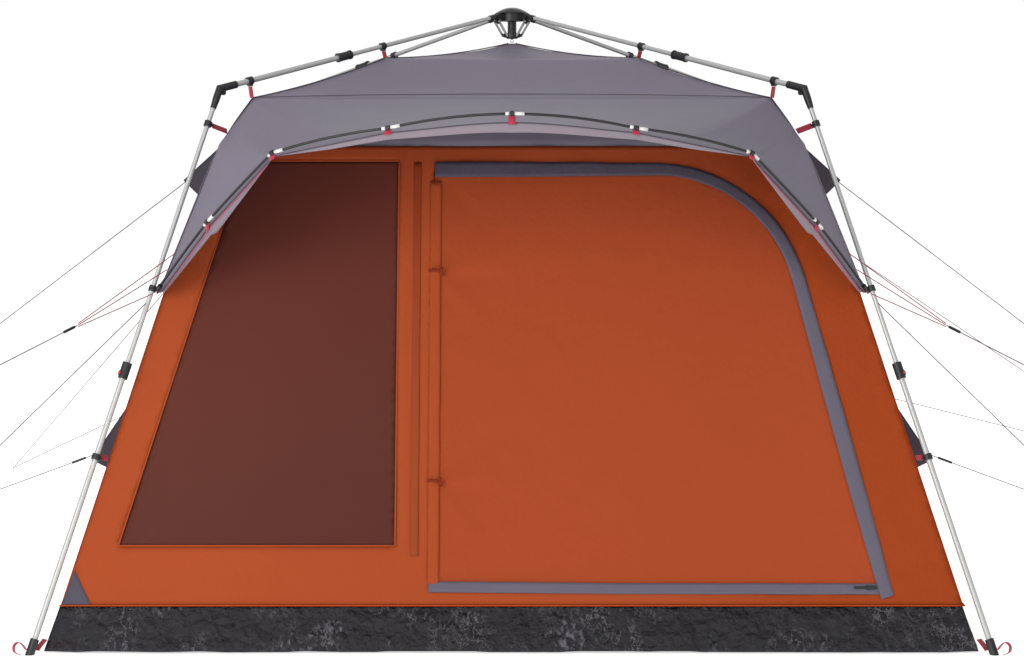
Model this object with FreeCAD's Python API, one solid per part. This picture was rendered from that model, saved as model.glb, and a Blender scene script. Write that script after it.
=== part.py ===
import FreeCAD, Part
import math
import os

# External-frame family tent. Millimetres, +Z up, origin at the centre of the groundsheet's underside,
# front (door) side at -Y. Every ring of the fabric is square, so one half width gives its four corners.

V = FreeCAD.Vector

# ---- driving dimensions: frame, in the upright plane of one corner (r out from the middle, z up) --------
FLOOR_HALF = 1523.0                       # half side of the groundsheet on the ground
FOOT_OUT = 52.15                          # foot beyond the groundsheet's corner
LEG_SPREAD = 800.0                        # foot further out than the elbow
ELBOW_Z = 1835.0
ARM_RISE = 292.0                          # hub's pivots above the elbows
HUB_PIVOT_R = 75.0
SMALL_TUBE, BIG_TUBE = 8.0, 9.5           # outer radii
RUN_CLEAR = 0.08                          # radial clearance of tubes that telescope and of pins that turn
SMALL_WALL = 1.0
PIN = 2.5                                 # pin radius
PIN_HEAD, PIN_HEAD_HIGH = 4.5, 2.0        # radius and height of a pin's rivet head
TONGUE = 6.0                              # half thickness of the middle plate of every hinge
EAR = 4.0                                 # thickness of the plates either side of it
EAR_GAP = 0.3
EYE = 9.0                                 # outer radius of a hinge plate round its pin
HUB_EYE = 11.0                            # the same on the hub
ELBOW_OFFSET = 15.0                       # from the elbow pivot to the arm's and to the leg's centre line
ELBOW_SOCKET, ELBOW_SOCKET_LENGTH = 13.0, 72.0
ELBOW_TUBE_END = 26.0                     # arm tube stops this far short of the elbow's corner
LEG_TUBE_START = 20.0                     # leg tube starts this far below the elbow's corner
ARM_TUBE_START, ARM_SOCKET_START, ARM_SOCKET_END, ARM_SOCKET_WALL = 25.0, 18.0, 45.0, 2.4
ARM_LOCK_R, ARM_LOCK_RADIUS, ARM_LOCK_LENGTH = 844.0, 15.0, 62.0
LOCK_RIM_HIGH, LOCK_RIM_WIDE = 1.5, 6.0   # raised rims at the ends of the arm's lock
ARM_OVERLAP = 100.0
LEG_LOCK_Z, LEG_LOCK_RADIUS, LEG_LOCK_LENGTH = 897.0, 16.0, 56.0
LEG_OVERLAP = 100.0
FOOT_RADIUS, FOOT_LENGTH, FOOT_CUP = 14.5, 52.0, 20.0
BUTTON_RADIUS, BUTTON_PROUD, BUTTON_TRAVEL, BUTTON_WALL = 6.0, 4.0, 3.0, 3.5
BUTTON_DOWN = 10.0                        # button's edge above the lock's lower end
HUB_CAP_RADIUS, HUB_CAP_HEIGHT, HUB_CAP_UP = 62.0, 22.0, 13.0
HUB_CORE_RADIUS, HUB_CORE_DOWN = 48.0, 17.0
STEM_RADIUS, STEM_DOWN = 17.0, 78.0       # stem reaches this far under the hub's pivots
STEM_GROOVES, GROOVE_PITCH, GROOVE_WIDE, GROOVE_DEEP = 6, 7.0, 2.5, 1.5
STEM_STOP_OUT, STEM_STOP_HIGH = 4.0, 4.0
HOOK_RING, HOOK_WIRE = 5.5, 1.5           # ring under the stem, from which a lamp hangs
COLLAR_RADIUS, COLLAR_HEIGHT = 31.0, 16.0
STRUT_LUG_DROP, STRUT_LUG_OUT = 19.0, 4.0     # strut pin below and beyond the arm's pivot
COLLAR_LUG_R = 38.0
STRUT_BAR, STRUT_BAR_HALF = 2.5, 5.0          # thickness and half height of each strut bar

ROOT2 = math.sqrt(2)
FOOT_R = FLOOR_HALF * ROOT2 + FOOT_OUT
ELBOW_R = FOOT_R - LEG_SPREAD
HUB_PIVOT_Z = ELBOW_Z + ARM_RISE
HUB_CAP_BASE = HUB_PIVOT_Z + HUB_CAP_UP
HUB_CORE_BOTTOM = HUB_PIVOT_Z - HUB_CORE_DOWN
STEM_BOTTOM = HUB_PIVOT_Z - STEM_DOWN


def arm_height(r):
    """Height of the arm's centre line at a distance r from the middle."""
    return HUB_PIVOT_Z - (r - HUB_PIVOT_R) * ARM_RISE / (ELBOW_R - HUB_PIVOT_R)


def leg_reach(z):
    """Distance of the leg's centre line from the middle at height z."""
    return ELBOW_R + (ELBOW_Z - z) * LEG_SPREAD / ELBOW_Z


# ---- driving dimensions: fabric, hung inside the frame ---------------------------------------------------
FABRIC = 1.2              # thickness of every sheet
SEAM = 0.4                # gap between sheets sewn edge to edge
CLEAR = 0.4               # gap between a soft piece and the hard piece beside it
TUB_IN, TUB_HEIGHT = 48.0, 145.0          # the tub's walls lean in by TUB_IN
WALL_BEND_IN = 350.0                      # side walls stand in from the floor's edge under the fly's hem
WALL_TOP_IN = 538.0
RIDGE_HALF = 457.0                        # square ridge line half way up the roof
PEAK_DROP, RIDGE_DROP, EAVE_DROP = 97.0, 44.66, 60.78     # below the hub's pivots and below the arms
EAVE_IN, SHOULDER_OUT, HEM_OUT = 90.0, 16.0, 11.0         # beside the walls' top, and beside their bend
SHOULDER_DROP, WALL_TOP_DROP = 158.0, 165.0               # below the eave
HEM_Z = 1150.0

TUB_HALF = FLOOR_HALF - TUB_IN
WALL_BEND_HALF, WALL_BEND_Z = FLOOR_HALF - WALL_BEND_IN, HEM_Z
WALL_TOP_HALF = FLOOR_HALF - WALL_TOP_IN
EAVE_HALF, SHOULDER_HALF = WALL_TOP_HALF - EAVE_IN, WALL_TOP_HALF + SHOULDER_OUT
HEM_HALF = WALL_BEND_HALF + HEM_OUT
PEAK_Z = HUB_PIVOT_Z - PEAK_DROP
RIDGE_Z = arm_height(RIDGE_HALF * ROOT2) - RIDGE_DROP
EAVE_Z = arm_height(EAVE_HALF * ROOT2) - EAVE_DROP
SHOULDER_Z, WALL_TOP_Z = EAVE_Z - SHOULDER_DROP, EAVE_Z - WALL_TOP_DROP

# ---- driving dimensions: door, window and zip covers (x across, z up, on the front wall) ---------------
DOOR_LEFT, DOOR_BOTTOM = -262.0, 200.0
DOOR_TOP = WALL_TOP_Z - 80.0
DOOR_RIGHT_BOTTOM = FLOOR_HALF - 306.0    # right corner at the bottom edge
DOOR_SIDE_LEAN = 0.2543           # how far the right edge comes in for each unit of height
DOOR_ROUND = 488.0                # radius of the rounded top right corner
DOOR_GAP = 2.0                    # between the door panel and the wall round it
DOOR_TIE_HEIGHTS = (536.0, 1219.0)
DOOR_TIE_RADIUS, DOOR_TIE_LENGTH = 5.0, 40.0
ZIP_COVER_WIDTH = 50.0
ZIP_COVER_STANDOFF = 0.6
SLIDER_IN, SLIDER_LENGTH, SLIDER_HIGH, SLIDER_DEEP = 60.0, 34.0, 14.0, 8.0
PULL_LENGTH, PULL_HIGH, PULL_DEEP = 39.5, 8.0, 3.0
WINDOW_BOTTOM, WINDOW_TOP, WINDOW_BEND_Z = 332.0, WALL_TOP_Z - 50.0, 1375.0
WINDOW_RIGHT = -384.0
WINDOW_BOTTOM_IN, WINDOW_BEND_IN, WINDOW_TOP_IN = 231.0, 546.0, 636.0      # in from the floor's edge
WINDOW_LEFT = {WINDOW_BOTTOM: WINDOW_BOTTOM_IN - FLOOR_HALF, WINDOW_BEND_Z: WINDOW_BEND_IN - FLOOR_HALF,
               WINDOW_TOP: WINDOW_TOP_IN - FLOOR_HALF}

# ---- driving dimensions: clips, straps, awning, vents, guys -----------------------------------------------
CLIP_WALL, CLIP_LENGTH, CLIP_BLOCK = 5.0, 20.0, 8.0
STRAP_WIDTH, STRAP_THICK, STRAP_SHORT = 20.0, 1.5, 3.0    # straps stop short of the fabric they are sewn to
RIDGE_CLIP_OUT, EAVE_CLIP_OUT = 13.0, 10.0                # clips further out than the fabric's corner
LEG_CLIP_HEIGHTS = (EAVE_Z - 90.0, HEM_Z + 15.0, 620.0)
LEG_STRAP_HEIGHTS = (EAVE_Z - 115.0, HEM_Z + 4.0, 612.0)
TAB_HEIGHT, TAB_DOWN = 12.0, 11.0
AWNING_POLE_RADIUS = 4.5
AWNING_CLIP_LENGTH, AWNING_CLIP_WALL = 12.0, 4.0
POLE_INSET = 8.0                              # pole and ferrules stop this far from the middle of a clip
FERRULE, FERRULE_WALL = 35.0, 1.0             # bright sleeves beside a clip
POLE_END_OUT, POLE_END_UP = 28.0, 16.0        # ends of the awning's pole in front of and above the fly's hem
AWNING_SHARES = (0.0, 0.3246, 0.6373, 0.8364)     # clips along the pole, as shares of its half width
AWNING_REACH = (648.0, 608.0, 488.0, 238.0)       # the same clips in front of the pole's ends
AWNING_HEIGHTS = (EAVE_Z - 65.0, EAVE_Z - 109.0, EAVE_Z - 186.0, HEM_Z + 245.0)
AWNING_DROPS = (22.0, 17.0, 16.0, 20.0)           # awning's edge under its pole at each clip
AWNING_SEAM = 4.0
VENT_OFF = 5.0                                # vents' edges stand clear of the sheets they are sewn to
GUY = 1.5                                     # radius of every guy line
GUY_KNOT = 5.0
TENSIONER_RADIUS, TENSIONER_LENGTH = 4.5, 56.0
FOOT_STRAP_WIDTH, FOOT_STRAP_THICK, FOOT_TAIL = 22.0, 2.0, 22.0

POLE_END = (HEM_HALF - AWNING_SEAM, -HEM_HALF - POLE_END_OUT, HEM_Z + POLE_END_UP)
POLE_POINTS = [(share * POLE_END[0], POLE_END[1] - reach, height)
               for share, reach, height in zip(AWNING_SHARES, AWNING_REACH, AWNING_HEIGHTS)] + [POLE_END]

NODES = {}


def add(name, *solids):
    """One node: one solid, or several separate solids of the same piece or of identical pieces."""
    NODES.setdefault(name, []).extend(solids)


# ---- small helpers --------------------------------------------------------------------------------------
def rod(start, end, radius, bore=0.0):
    axis = end.sub(start)
    solid = Part.makeCylinder(radius, axis.Length, start, axis)
    if bore:
        solid = solid.cut(Part.makeCylinder(bore, axis.Length, start, axis))
    return solid


def unit(v):
    return V(v).normalize()


def along(start, end, distance):
    return start.add(unit(end.sub(start)).multiply(distance))


def between(low, high, share):
    return low + (high - low) * share


def prism(points, shift):
    """Closed solid from a flat outline, pushed along a vector."""
    face = Part.Face(Part.makePolygon(list(points) + [points[0]]))
    return face.extrude(shift)


def hexahedron(outer, inner):
    """Closed solid between two outlines with the same number of points, with flat sides."""
    n = len(outer)
    loops = [outer, inner]
    loops += [[outer[i], outer[(i + 1) % n], inner[(i + 1) % n], inner[i]] for i in range(n)]
    faces = [Part.Face(Part.makePolygon(loop + [loop[0]])) for loop in loops]
    solid = Part.Solid(Part.Shell(faces))
    if solid.Volume < 0:
        solid.reverse()
    return solid


def mirror_x(shape):
    return shape.mirror(V(0, 0, 0), V(1, 0, 0))


def turned(shape, degrees):
    copy = shape.copy()
    copy.rotate(V(0, 0, 0), V(0, 0, 1), degrees)
    return copy


def ring_half(z, low, high):
    """Half width at height z on the straight line between two rings (half, z)."""
    return between(low[0], high[0], (z - low[1]) / (high[1] - low[1]))


# ---- groundsheet, walls ------------------------------------------------------------------------------------
TUB_RING = (TUB_HALF, TUB_HEIGHT)
BEND_RING = (WALL_BEND_HALF, WALL_BEND_Z)
TOP_RING = (WALL_TOP_HALF, WALL_TOP_Z)
WALL_LEAN = (TUB_HALF - WALL_TOP_HALF) / (WALL_TOP_Z - TUB_HEIGHT)


def front_depth(z):
    """How far the front (and back) wall stands from the middle at height z."""
    return TUB_HALF - WALL_LEAN * (z - TUB_HEIGHT)


def side_half(z):
    """How far the side walls stand from the middle at height z."""
    if z <= WALL_BEND_Z:
        return ring_half(z, TUB_RING, BEND_RING)
    return ring_half(z, BEND_RING, TOP_RING)


FRONT_OUT = unit(V(0, -1, WALL_LEAN))


def on_front(x, z, out=0.0):
    return V(x, -front_depth(z), z).add(V(FRONT_OUT).multiply(out))


def front_plate(outline, thickness=FABRIC, out=0.0):
    """Sheet on the front wall's plane from (x, z) points, its outer face 'out' in front of the plane."""
    return prism([on_front(x, z, out) for x, z in outline], V(FRONT_OUT).multiply(-thickness))


def side_band(low, high, depth_low, depth_high, inset=FABRIC):
    """Upright band on the left, between two rings; the depths are its half lengths along Y."""
    def quad(shift):
        return [V(-low[0] + shift, -depth_low, low[1]), V(-low[0] + shift, depth_low, low[1]),
                V(-high[0] + shift, depth_high, high[1]), V(-high[0] + shift, -depth_high, high[1])]
    return hexahedron(quad(0.0), quad(inset))


def square_band(low, high):
    """One side (left) of a square sleeve between two rings, mitred at its corners."""
    def quad(shift):
        return [V(-low[0] + shift, -low[0] + shift, low[1]), V(-low[0] + shift, low[0] - shift, low[1]),
                V(-high[0] + shift, high[0] - shift, high[1]), V(-high[0] + shift, -high[0] + shift, high[1])]
    return hexahedron(quad(0.0), quad(FABRIC))


def make_groundsheet():
    half = FLOOR_HALF - FABRIC
    floor = Part.makeBox(2 * half, 2 * half, FABRIC, V(-half, -half, 0))
    base = FABRIC + SEAM
    low = (ring_half(base, (FLOOR_HALF, 0.0), TUB_RING), base)
    band = square_band(low, TUB_RING)
    add("groundsheet", floor)
    add("tub_walls", *[turned(band, 90 * i) for i in range(4)])


def wall_edge(z):
    """Side edge of the front and back walls, which fit between the side walls."""
    return side_half(z) - FABRIC - SEAM


def door_round_points():
    """Start, middle and end of the door's rounded corner, and its centre."""
    lean = math.atan(DOOR_SIDE_LEAN)
    turn = math.pi / 2 - lean
    corner_x = DOOR_RIGHT_BOTTOM - DOOR_SIDE_LEAN * (DOOR_TOP - DOOR_BOTTOM)
    start = corner_x - DOOR_ROUND * math.tan(turn / 2)
    return (start, DOOR_TOP - DOOR_ROUND), turn


def door_curve(grow, share):
    """Point on the rounded corner, grown outwards, share 0 at the top edge and 1 at the side edge."""
    (cx, cz), turn = door_round_points()
    angle = math.pi / 2 - turn * share
    radius = DOOR_ROUND + grow
    return cx + radius * math.cos(angle), cz + radius * math.sin(angle)


def door_side_x(z, grow=0.0):
    """The door's straight right edge at height z, grown outwards."""
    return (DOOR_RIGHT_BOTTOM - DOOR_SIDE_LEAN * (z - DOOR_BOTTOM)
            + grow * math.sqrt(1 + DOOR_SIDE_LEAN ** 2))


def door_face(grow, out):
    """Flat face of the door's outline, grown outwards, on a plane in front of the wall."""
    left, bottom, top = DOOR_LEFT - grow, DOOR_BOTTOM - grow, DOOR_TOP + grow
    a = on_front(left, bottom, out)
    b = on_front(left, top, out)
    c, mid, d = [on_front(*door_curve(grow, share), out) for share in (0.0, 0.5, 1.0)]
    e = on_front(door_side_x(bottom, grow), bottom, out)
    edges = [Part.makeLine(a, b), Part.makeLine(b, c), Part.Arc(c, mid, d).toShape(),
             Part.makeLine(d, e), Part.makeLine(e, a)]
    return Part.Face(Part.Wire(edges))


CURVE_STEPS = 4


def right_of_door():
    """(z, x) of the wall's edge beside the door, from the bottom up, outside the rounded corner."""
    turn = door_round_points()[1]
    grow = (DOOR_ROUND + DOOR_GAP) / math.cos(turn / CURVE_STEPS / 2) - DOOR_ROUND
    points = [(DOOR_BOTTOM - DOOR_GAP, door_side_x(DOOR_BOTTOM - DOOR_GAP, DOOR_GAP)),
              (WALL_BEND_Z, door_side_x(WALL_BEND_Z, DOOR_GAP))]
    for i in range(CURVE_STEPS - 1, -1, -1):
        x, z = door_curve(grow, (i + 0.5) / CURVE_STEPS)
        points.append((min(z, DOOR_TOP + DOOR_GAP), x))
    return points


def make_front_wall():
    low, door_low, high = TUB_HEIGHT + SEAM, DOOR_BOTTOM - DOOR_GAP, DOOR_TOP + DOOR_GAP
    door_left = DOOR_LEFT - DOOR_GAP
    frame = DOOR_GAP / 2
    levels = [WINDOW_BOTTOM - frame, WALL_BEND_Z, WINDOW_BEND_Z, WINDOW_TOP + frame]
    plates = [[(-wall_edge(low), low), (wall_edge(low), low), (wall_edge(door_low), door_low),
               (-wall_edge(door_low), door_low)],
              [(-wall_edge(door_low), door_low), (door_left, door_low), (door_left, levels[0]),
               (-wall_edge(levels[0]), levels[0])],
              [(-wall_edge(levels[3]), levels[3]), (wall_edge(levels[3]), levels[3]),
               (wall_edge(WALL_TOP_Z), WALL_TOP_Z), (-wall_edge(WALL_TOP_Z), WALL_TOP_Z)],
              [(WINDOW_RIGHT + frame, levels[0]), (door_left, levels[0]), (door_left, levels[3]),
               (WINDOW_RIGHT + frame, levels[3])],
              [(door_left, high), (wall_edge(high), high), (wall_edge(levels[3]), levels[3]),
               (door_left, levels[3])]]
    for z0, z1 in zip(levels, levels[1:]):
        plates.append([(-wall_edge(z0), z0), (window_left(z0) - frame, z0),
                       (window_left(z1) - frame, z1), (-wall_edge(z1), z1)])
    side = right_of_door()
    for (z0, x0), (z1, x1) in zip(side, side[1:]):
        plates.append([(x0, z0), (wall_edge(z0), z0), (wall_edge(z1), z1), (x1, z1)])
    add("wall_front", *[front_plate(p) for p in plates])


def window_left(z):
    heights = sorted(WINDOW_LEFT)
    for z0, z1 in zip(heights, heights[1:]):
        if z <= z1 or z1 == heights[-1]:
            return between(WINDOW_LEFT[z0], WINDOW_LEFT[z1], (z - z0) / (z1 - z0))


def make_walls():
    make_front_wall()
    base = TUB_HEIGHT + SEAM
    low = (side_half(base), base)
    lower = side_band(low, BEND_RING, front_depth(base), front_depth(WALL_BEND_Z))
    upper = side_band(BEND_RING, TOP_RING, front_depth(WALL_BEND_Z), front_depth(WALL_TOP_Z))
    add("wall_left", lower, upper)
    add("wall_right", mirror_x(lower), mirror_x(upper))
    heights = [base, WALL_BEND_Z, WALL_TOP_Z]
    outline = [(wall_edge(z), z) for z in heights] + [(-wall_edge(z), z) for z in reversed(heights)]
    add("wall_back", turned(front_plate(outline), 180))
    window = [(WINDOW_LEFT[z], z) for z in sorted(WINDOW_LEFT)]
    window += [(WINDOW_RIGHT, WINDOW_TOP), (WINDOW_RIGHT, WINDOW_BOTTOM)]
    add("mesh_window", front_plate(window))


def make_door():
    add("door_panel", door_face(0.0, 0.0).extrude(V(FRONT_OUT).multiply(-FABRIC)))
    half = ZIP_COVER_WIDTH / 2
    back = ZIP_COVER_STANDOFF + FABRIC
    cover = door_face(half, back).cut(door_face(-half, back))
    keep = Part.makeBox(2 * FLOOR_HALF, 2 * FLOOR_HALF, PEAK_Z, V(DOOR_LEFT, -2 * FLOOR_HALF, 0))
    cover = cover.extrude(V(FRONT_OUT).multiply(-FABRIC)).common(keep)
    add("zip_cover", *cover.Solids)
    out = back + CLEAR
    x0 = door_side_x(DOOR_BOTTOM) - SLIDER_IN
    half_left, half_right = SLIDER_HIGH / 2, SLIDER_HIGH / 2 - 2
    outline = [(x0, -half_left), (x0 + SLIDER_LENGTH, -half_right), (x0 + SLIDER_LENGTH, half_right),
               (x0, half_left)]
    body = door_block(outline, out, SLIDER_DEEP)
    end = x0 - 0.5
    pull = [(end - PULL_LENGTH, -PULL_HIGH / 2), (end, -PULL_HIGH / 2), (end, PULL_HIGH / 2),
            (end - PULL_LENGTH, PULL_HIGH / 2)]
    add("zip_slider", body, door_block(pull, out + PULL_DEEP, PULL_DEEP))
    for z in DOOR_TIE_HEIGHTS:
        out = CLEAR + 2 * DOOR_TIE_RADIUS
        start = on_front(DOOR_LEFT - DOOR_TIE_LENGTH - 6, z, out)
        end = on_front(DOOR_LEFT - 6, z - 4, out)
        add("door_ties", rod(start, end, DOOR_TIE_RADIUS))


def door_block(outline, out, depth):
    """Small block on the door's bottom edge, from (x, height above the edge) points."""
    points = [on_front(x, DOOR_BOTTOM + up, out + depth) for x, up in outline]
    return prism(points, V(FRONT_OUT).multiply(-depth))


# ---- fly, awning, vents ------------------------------------------------------------------------------------
def make_fly():
    drop = V(0, 0, -FABRIC)
    peak = V(0, 0, PEAK_Z)
    ridge = [V(-RIDGE_HALF, -RIDGE_HALF, RIDGE_Z), V(RIDGE_HALF, -RIDGE_HALF, RIDGE_Z)]
    eave = [V(EAVE_HALF, -EAVE_HALF, EAVE_Z), V(-EAVE_HALF, -EAVE_HALF, EAVE_Z)]
    panels = [prism([peak] + ridge, drop), prism(ridge + eave, drop)]
    add("fly_roof", *[turned(p, 90 * i) for i in range(4) for p in panels])
    top_z = EAVE_Z - FABRIC - SEAM
    top = (ring_half(top_z, (SHOULDER_HALF, SHOULDER_Z), (EAVE_HALF, EAVE_Z)), top_z)
    shoulder, hem = (SHOULDER_HALF, SHOULDER_Z), (HEM_HALF, HEM_Z)
    bands = [square_band(shoulder, top), square_band(hem, shoulder)]
    for turn in (0, 180, 270):
        add("fly_skirt", *[turned(b, turn) for b in bands])


def awning_hem():
    """Points of the awning's front edge, from the middle to the right, under the pole."""
    hem = []
    for (x, y, z), drop in zip(POLE_POINTS, AWNING_DROPS):
        hem.append(V(x, y, z - drop))
    return hem


def make_awning():
    corners = [V(half - AWNING_SEAM, -half, z) for half, z in
               ((EAVE_HALF, EAVE_Z), (SHOULDER_HALF, SHOULDER_Z), (HEM_HALF, HEM_Z))]
    corners[0].y -= AWNING_SEAM / 2
    hem = awning_hem()
    middle = V(0, corners[0].y, EAVE_Z)
    triangles = [(middle, hem[0], hem[1]), (middle, hem[1], corners[0]), (corners[0], hem[1], hem[2]),
                 (corners[0], hem[2], corners[1]), (corners[1], hem[2], hem[3]),
                 (corners[1], hem[3], corners[2])]
    shift = V(0, 0.5, -0.866).multiply(FABRIC)
    right = [prism(t, shift) for t in triangles]
    add("awning", *right, *[mirror_x(p) for p in right])


def pole_line():
    """Every joint of the awning pole, from its left end to its right end."""
    return [V(-x, y, z) for x, y, z in reversed(POLE_POINTS[1:])] + [V(*p) for p in POLE_POINTS]


def make_awning_pole():
    """Bent fibreglass pole in straight lengths, each socketed in a bright ferrule at the clips."""
    points = pole_line()
    for a, b in zip(points, points[1:]):
        add("awning_pole", rod(along(a, b, POLE_INSET), along(b, a, POLE_INSET), AWNING_POLE_RADIUS))
        for start, towards in ((a, b), (b, a)):
            if abs(start.x) < POLE_POINTS[-1][0]:
                tube = rod(along(start, towards, POLE_INSET), along(start, towards, POLE_INSET + FERRULE),
                           AWNING_POLE_RADIUS + FERRULE_WALL, AWNING_POLE_RADIUS)
                add("awning_pole", tube)


def make_vents():
    """Hoods over the vents in the middle of each side: a top sheet and two gussets, open below."""
    for top, tip, foot, wide, narrow in UPPER_VENT, LOWER_VENT:
        a, b = V(top[0], -wide, top[1]), V(top[0], wide, top[1])
        c, d = V(tip[0], narrow, tip[1]), V(tip[0], -narrow, tip[1])
        inward = unit(c.sub(b).cross(a.sub(b)))
        if inward.x > 0:
            inward = inward.negative()
        sheet = prism([a, b, c, d], V(inward).multiply(FABRIC))
        solids = [sheet]
        for side in (-1, 1):
            under = V(inward).multiply(FABRIC + SEAM)
            p = V(top[0], side * wide, top[1]).add(under)
            q = V(tip[0], side * narrow, tip[1]).add(under)
            r = V(foot[0], side * wide, foot[1])
            normal = unit(q.sub(p).cross(r.sub(p)))
            if normal.y * side > 0:
                normal = normal.negative()
            outline = [p, q, r]
            if foot[1] < SHOULDER_Z < top[1]:
                bend = V(SHOULDER_HALF + VENT_OFF, 0, SHOULDER_Z)
                bend.y = p.y - (normal.x * (bend.x - p.x) + normal.z * (bend.z - p.z)) / normal.y
                outline.append(bend)
            solids.append(prism(outline, V(normal).multiply(FABRIC)))
        for s in solids:
            add("vent_hoods", s, mirror_x(s))


# (x, z) of the top edge, of the tip and of the gusset's foot, and the half widths at the wall and at the tip
VENT_TOP, VENT_FOOT = EAVE_Z - 20.0, HEM_Z + 250.0
UPPER_VENT = ((ring_half(VENT_TOP, (SHOULDER_HALF, SHOULDER_Z), (EAVE_HALF, EAVE_Z)) + VENT_OFF, VENT_TOP),
              (HEM_HALF + 38.0, EAVE_Z - 290.0),
              (ring_half(VENT_FOOT, (HEM_HALF, HEM_Z), (SHOULDER_HALF, SHOULDER_Z)) + VENT_OFF, VENT_FOOT),
              270.0, 190.0)
LOWER_VENT = ((side_half(960.0) + VENT_OFF, 960.0), (FLOOR_HALF + 53.0, 470.0),
              (side_half(400.0) + VENT_OFF, 400.0), 280.0, 200.0)


# ---- frame -------------------------------------------------------------------------------------------------
CORNERS = {"front_left": 225.0, "front_right": 315.0, "rear_right": 45.0, "rear_left": 135.0}
HUB_PIVOT = V(HUB_PIVOT_R, 0, HUB_PIVOT_Z)
ELBOW = V(ELBOW_R, 0, ELBOW_Z)
FOOT = V(FOOT_R, 0, 0)
ARM_LENGTH = ELBOW.sub(HUB_PIVOT).Length
LEG_LENGTH = FOOT.sub(ELBOW).Length
ARM_OUT = unit(ELBOW.sub(HUB_PIVOT))
LEG_DOWN = unit(FOOT.sub(ELBOW))
TO_MIDDLE = unit(LEG_DOWN.sub(ARM_OUT))                # from the elbow's corner to its inner side
HALF_ANGLE = LEG_DOWN.getAngle(TO_MIDDLE)
ELBOW_PIVOT = ELBOW.add(V(TO_MIDDLE).multiply(ELBOW_OFFSET / math.sin(HALF_ANGLE)))
MITRE_NORMAL = unit(V(-TO_MIDDLE.z, 0, TO_MIDDLE.x))
if MITRE_NORMAL.dot(ARM_OUT) > 0:
    MITRE_NORMAL = MITRE_NORMAL.negative()
BIG_BORE = SMALL_TUBE + RUN_CLEAR


def on_arm(distance):
    """Point on the arm's centre line, from the hub's pivot outwards."""
    return along(HUB_PIVOT, ELBOW, distance)


def on_leg(distance):
    """Point on the leg's centre line, from the elbow's corner downwards."""
    return along(ELBOW, FOOT, distance)


ARM_LOCK_AT = (ARM_LOCK_R - HUB_PIVOT_R) / ARM_OUT.x
LEG_LOCK_AT = (LEG_LOCK_Z - ELBOW_Z) / LEG_DOWN.z


def disc(centre, radius, low, high):
    """Round plate about a cross pin, between two offsets along y."""
    return Part.makeCylinder(radius, high - low, V(centre.x, low, centre.z), V(0, 1, 0))


def bar(a, b, half_height, low, high):
    """Flat bar from a to b in the corner's plane, between two offsets along y."""
    run = unit(b.sub(a))
    side = V(-run.z, 0, run.x).multiply(half_height)
    outline = [a.add(side), b.add(side), b.sub(side), a.sub(side)]
    outline = [V(p.x, low, p.z) for p in outline]
    return prism(outline, V(0, high - low, 0))


def half_space(point, normal, size=400.0):
    """Large block on the side of a plane that the normal points to."""
    box = Part.makeBox(size, size, size, V(-size / 2, -size / 2, 0))
    box.Placement = FreeCAD.Placement(point, FreeCAD.Rotation(V(0, 0, 1), normal))
    return box


def ear_plates():
    """Offsets along y of the two plates either side of a hinge's tongue."""
    near, far = TONGUE + EAR_GAP, TONGUE + EAR_GAP + EAR
    return (near, far), (-far, -near)


THROUGH = 30.0                                    # longer than any hinge is thick


def bore(centre, radius):
    """Cross hole, right through."""
    return disc(centre, radius, -THROUGH, THROUGH)


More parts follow.
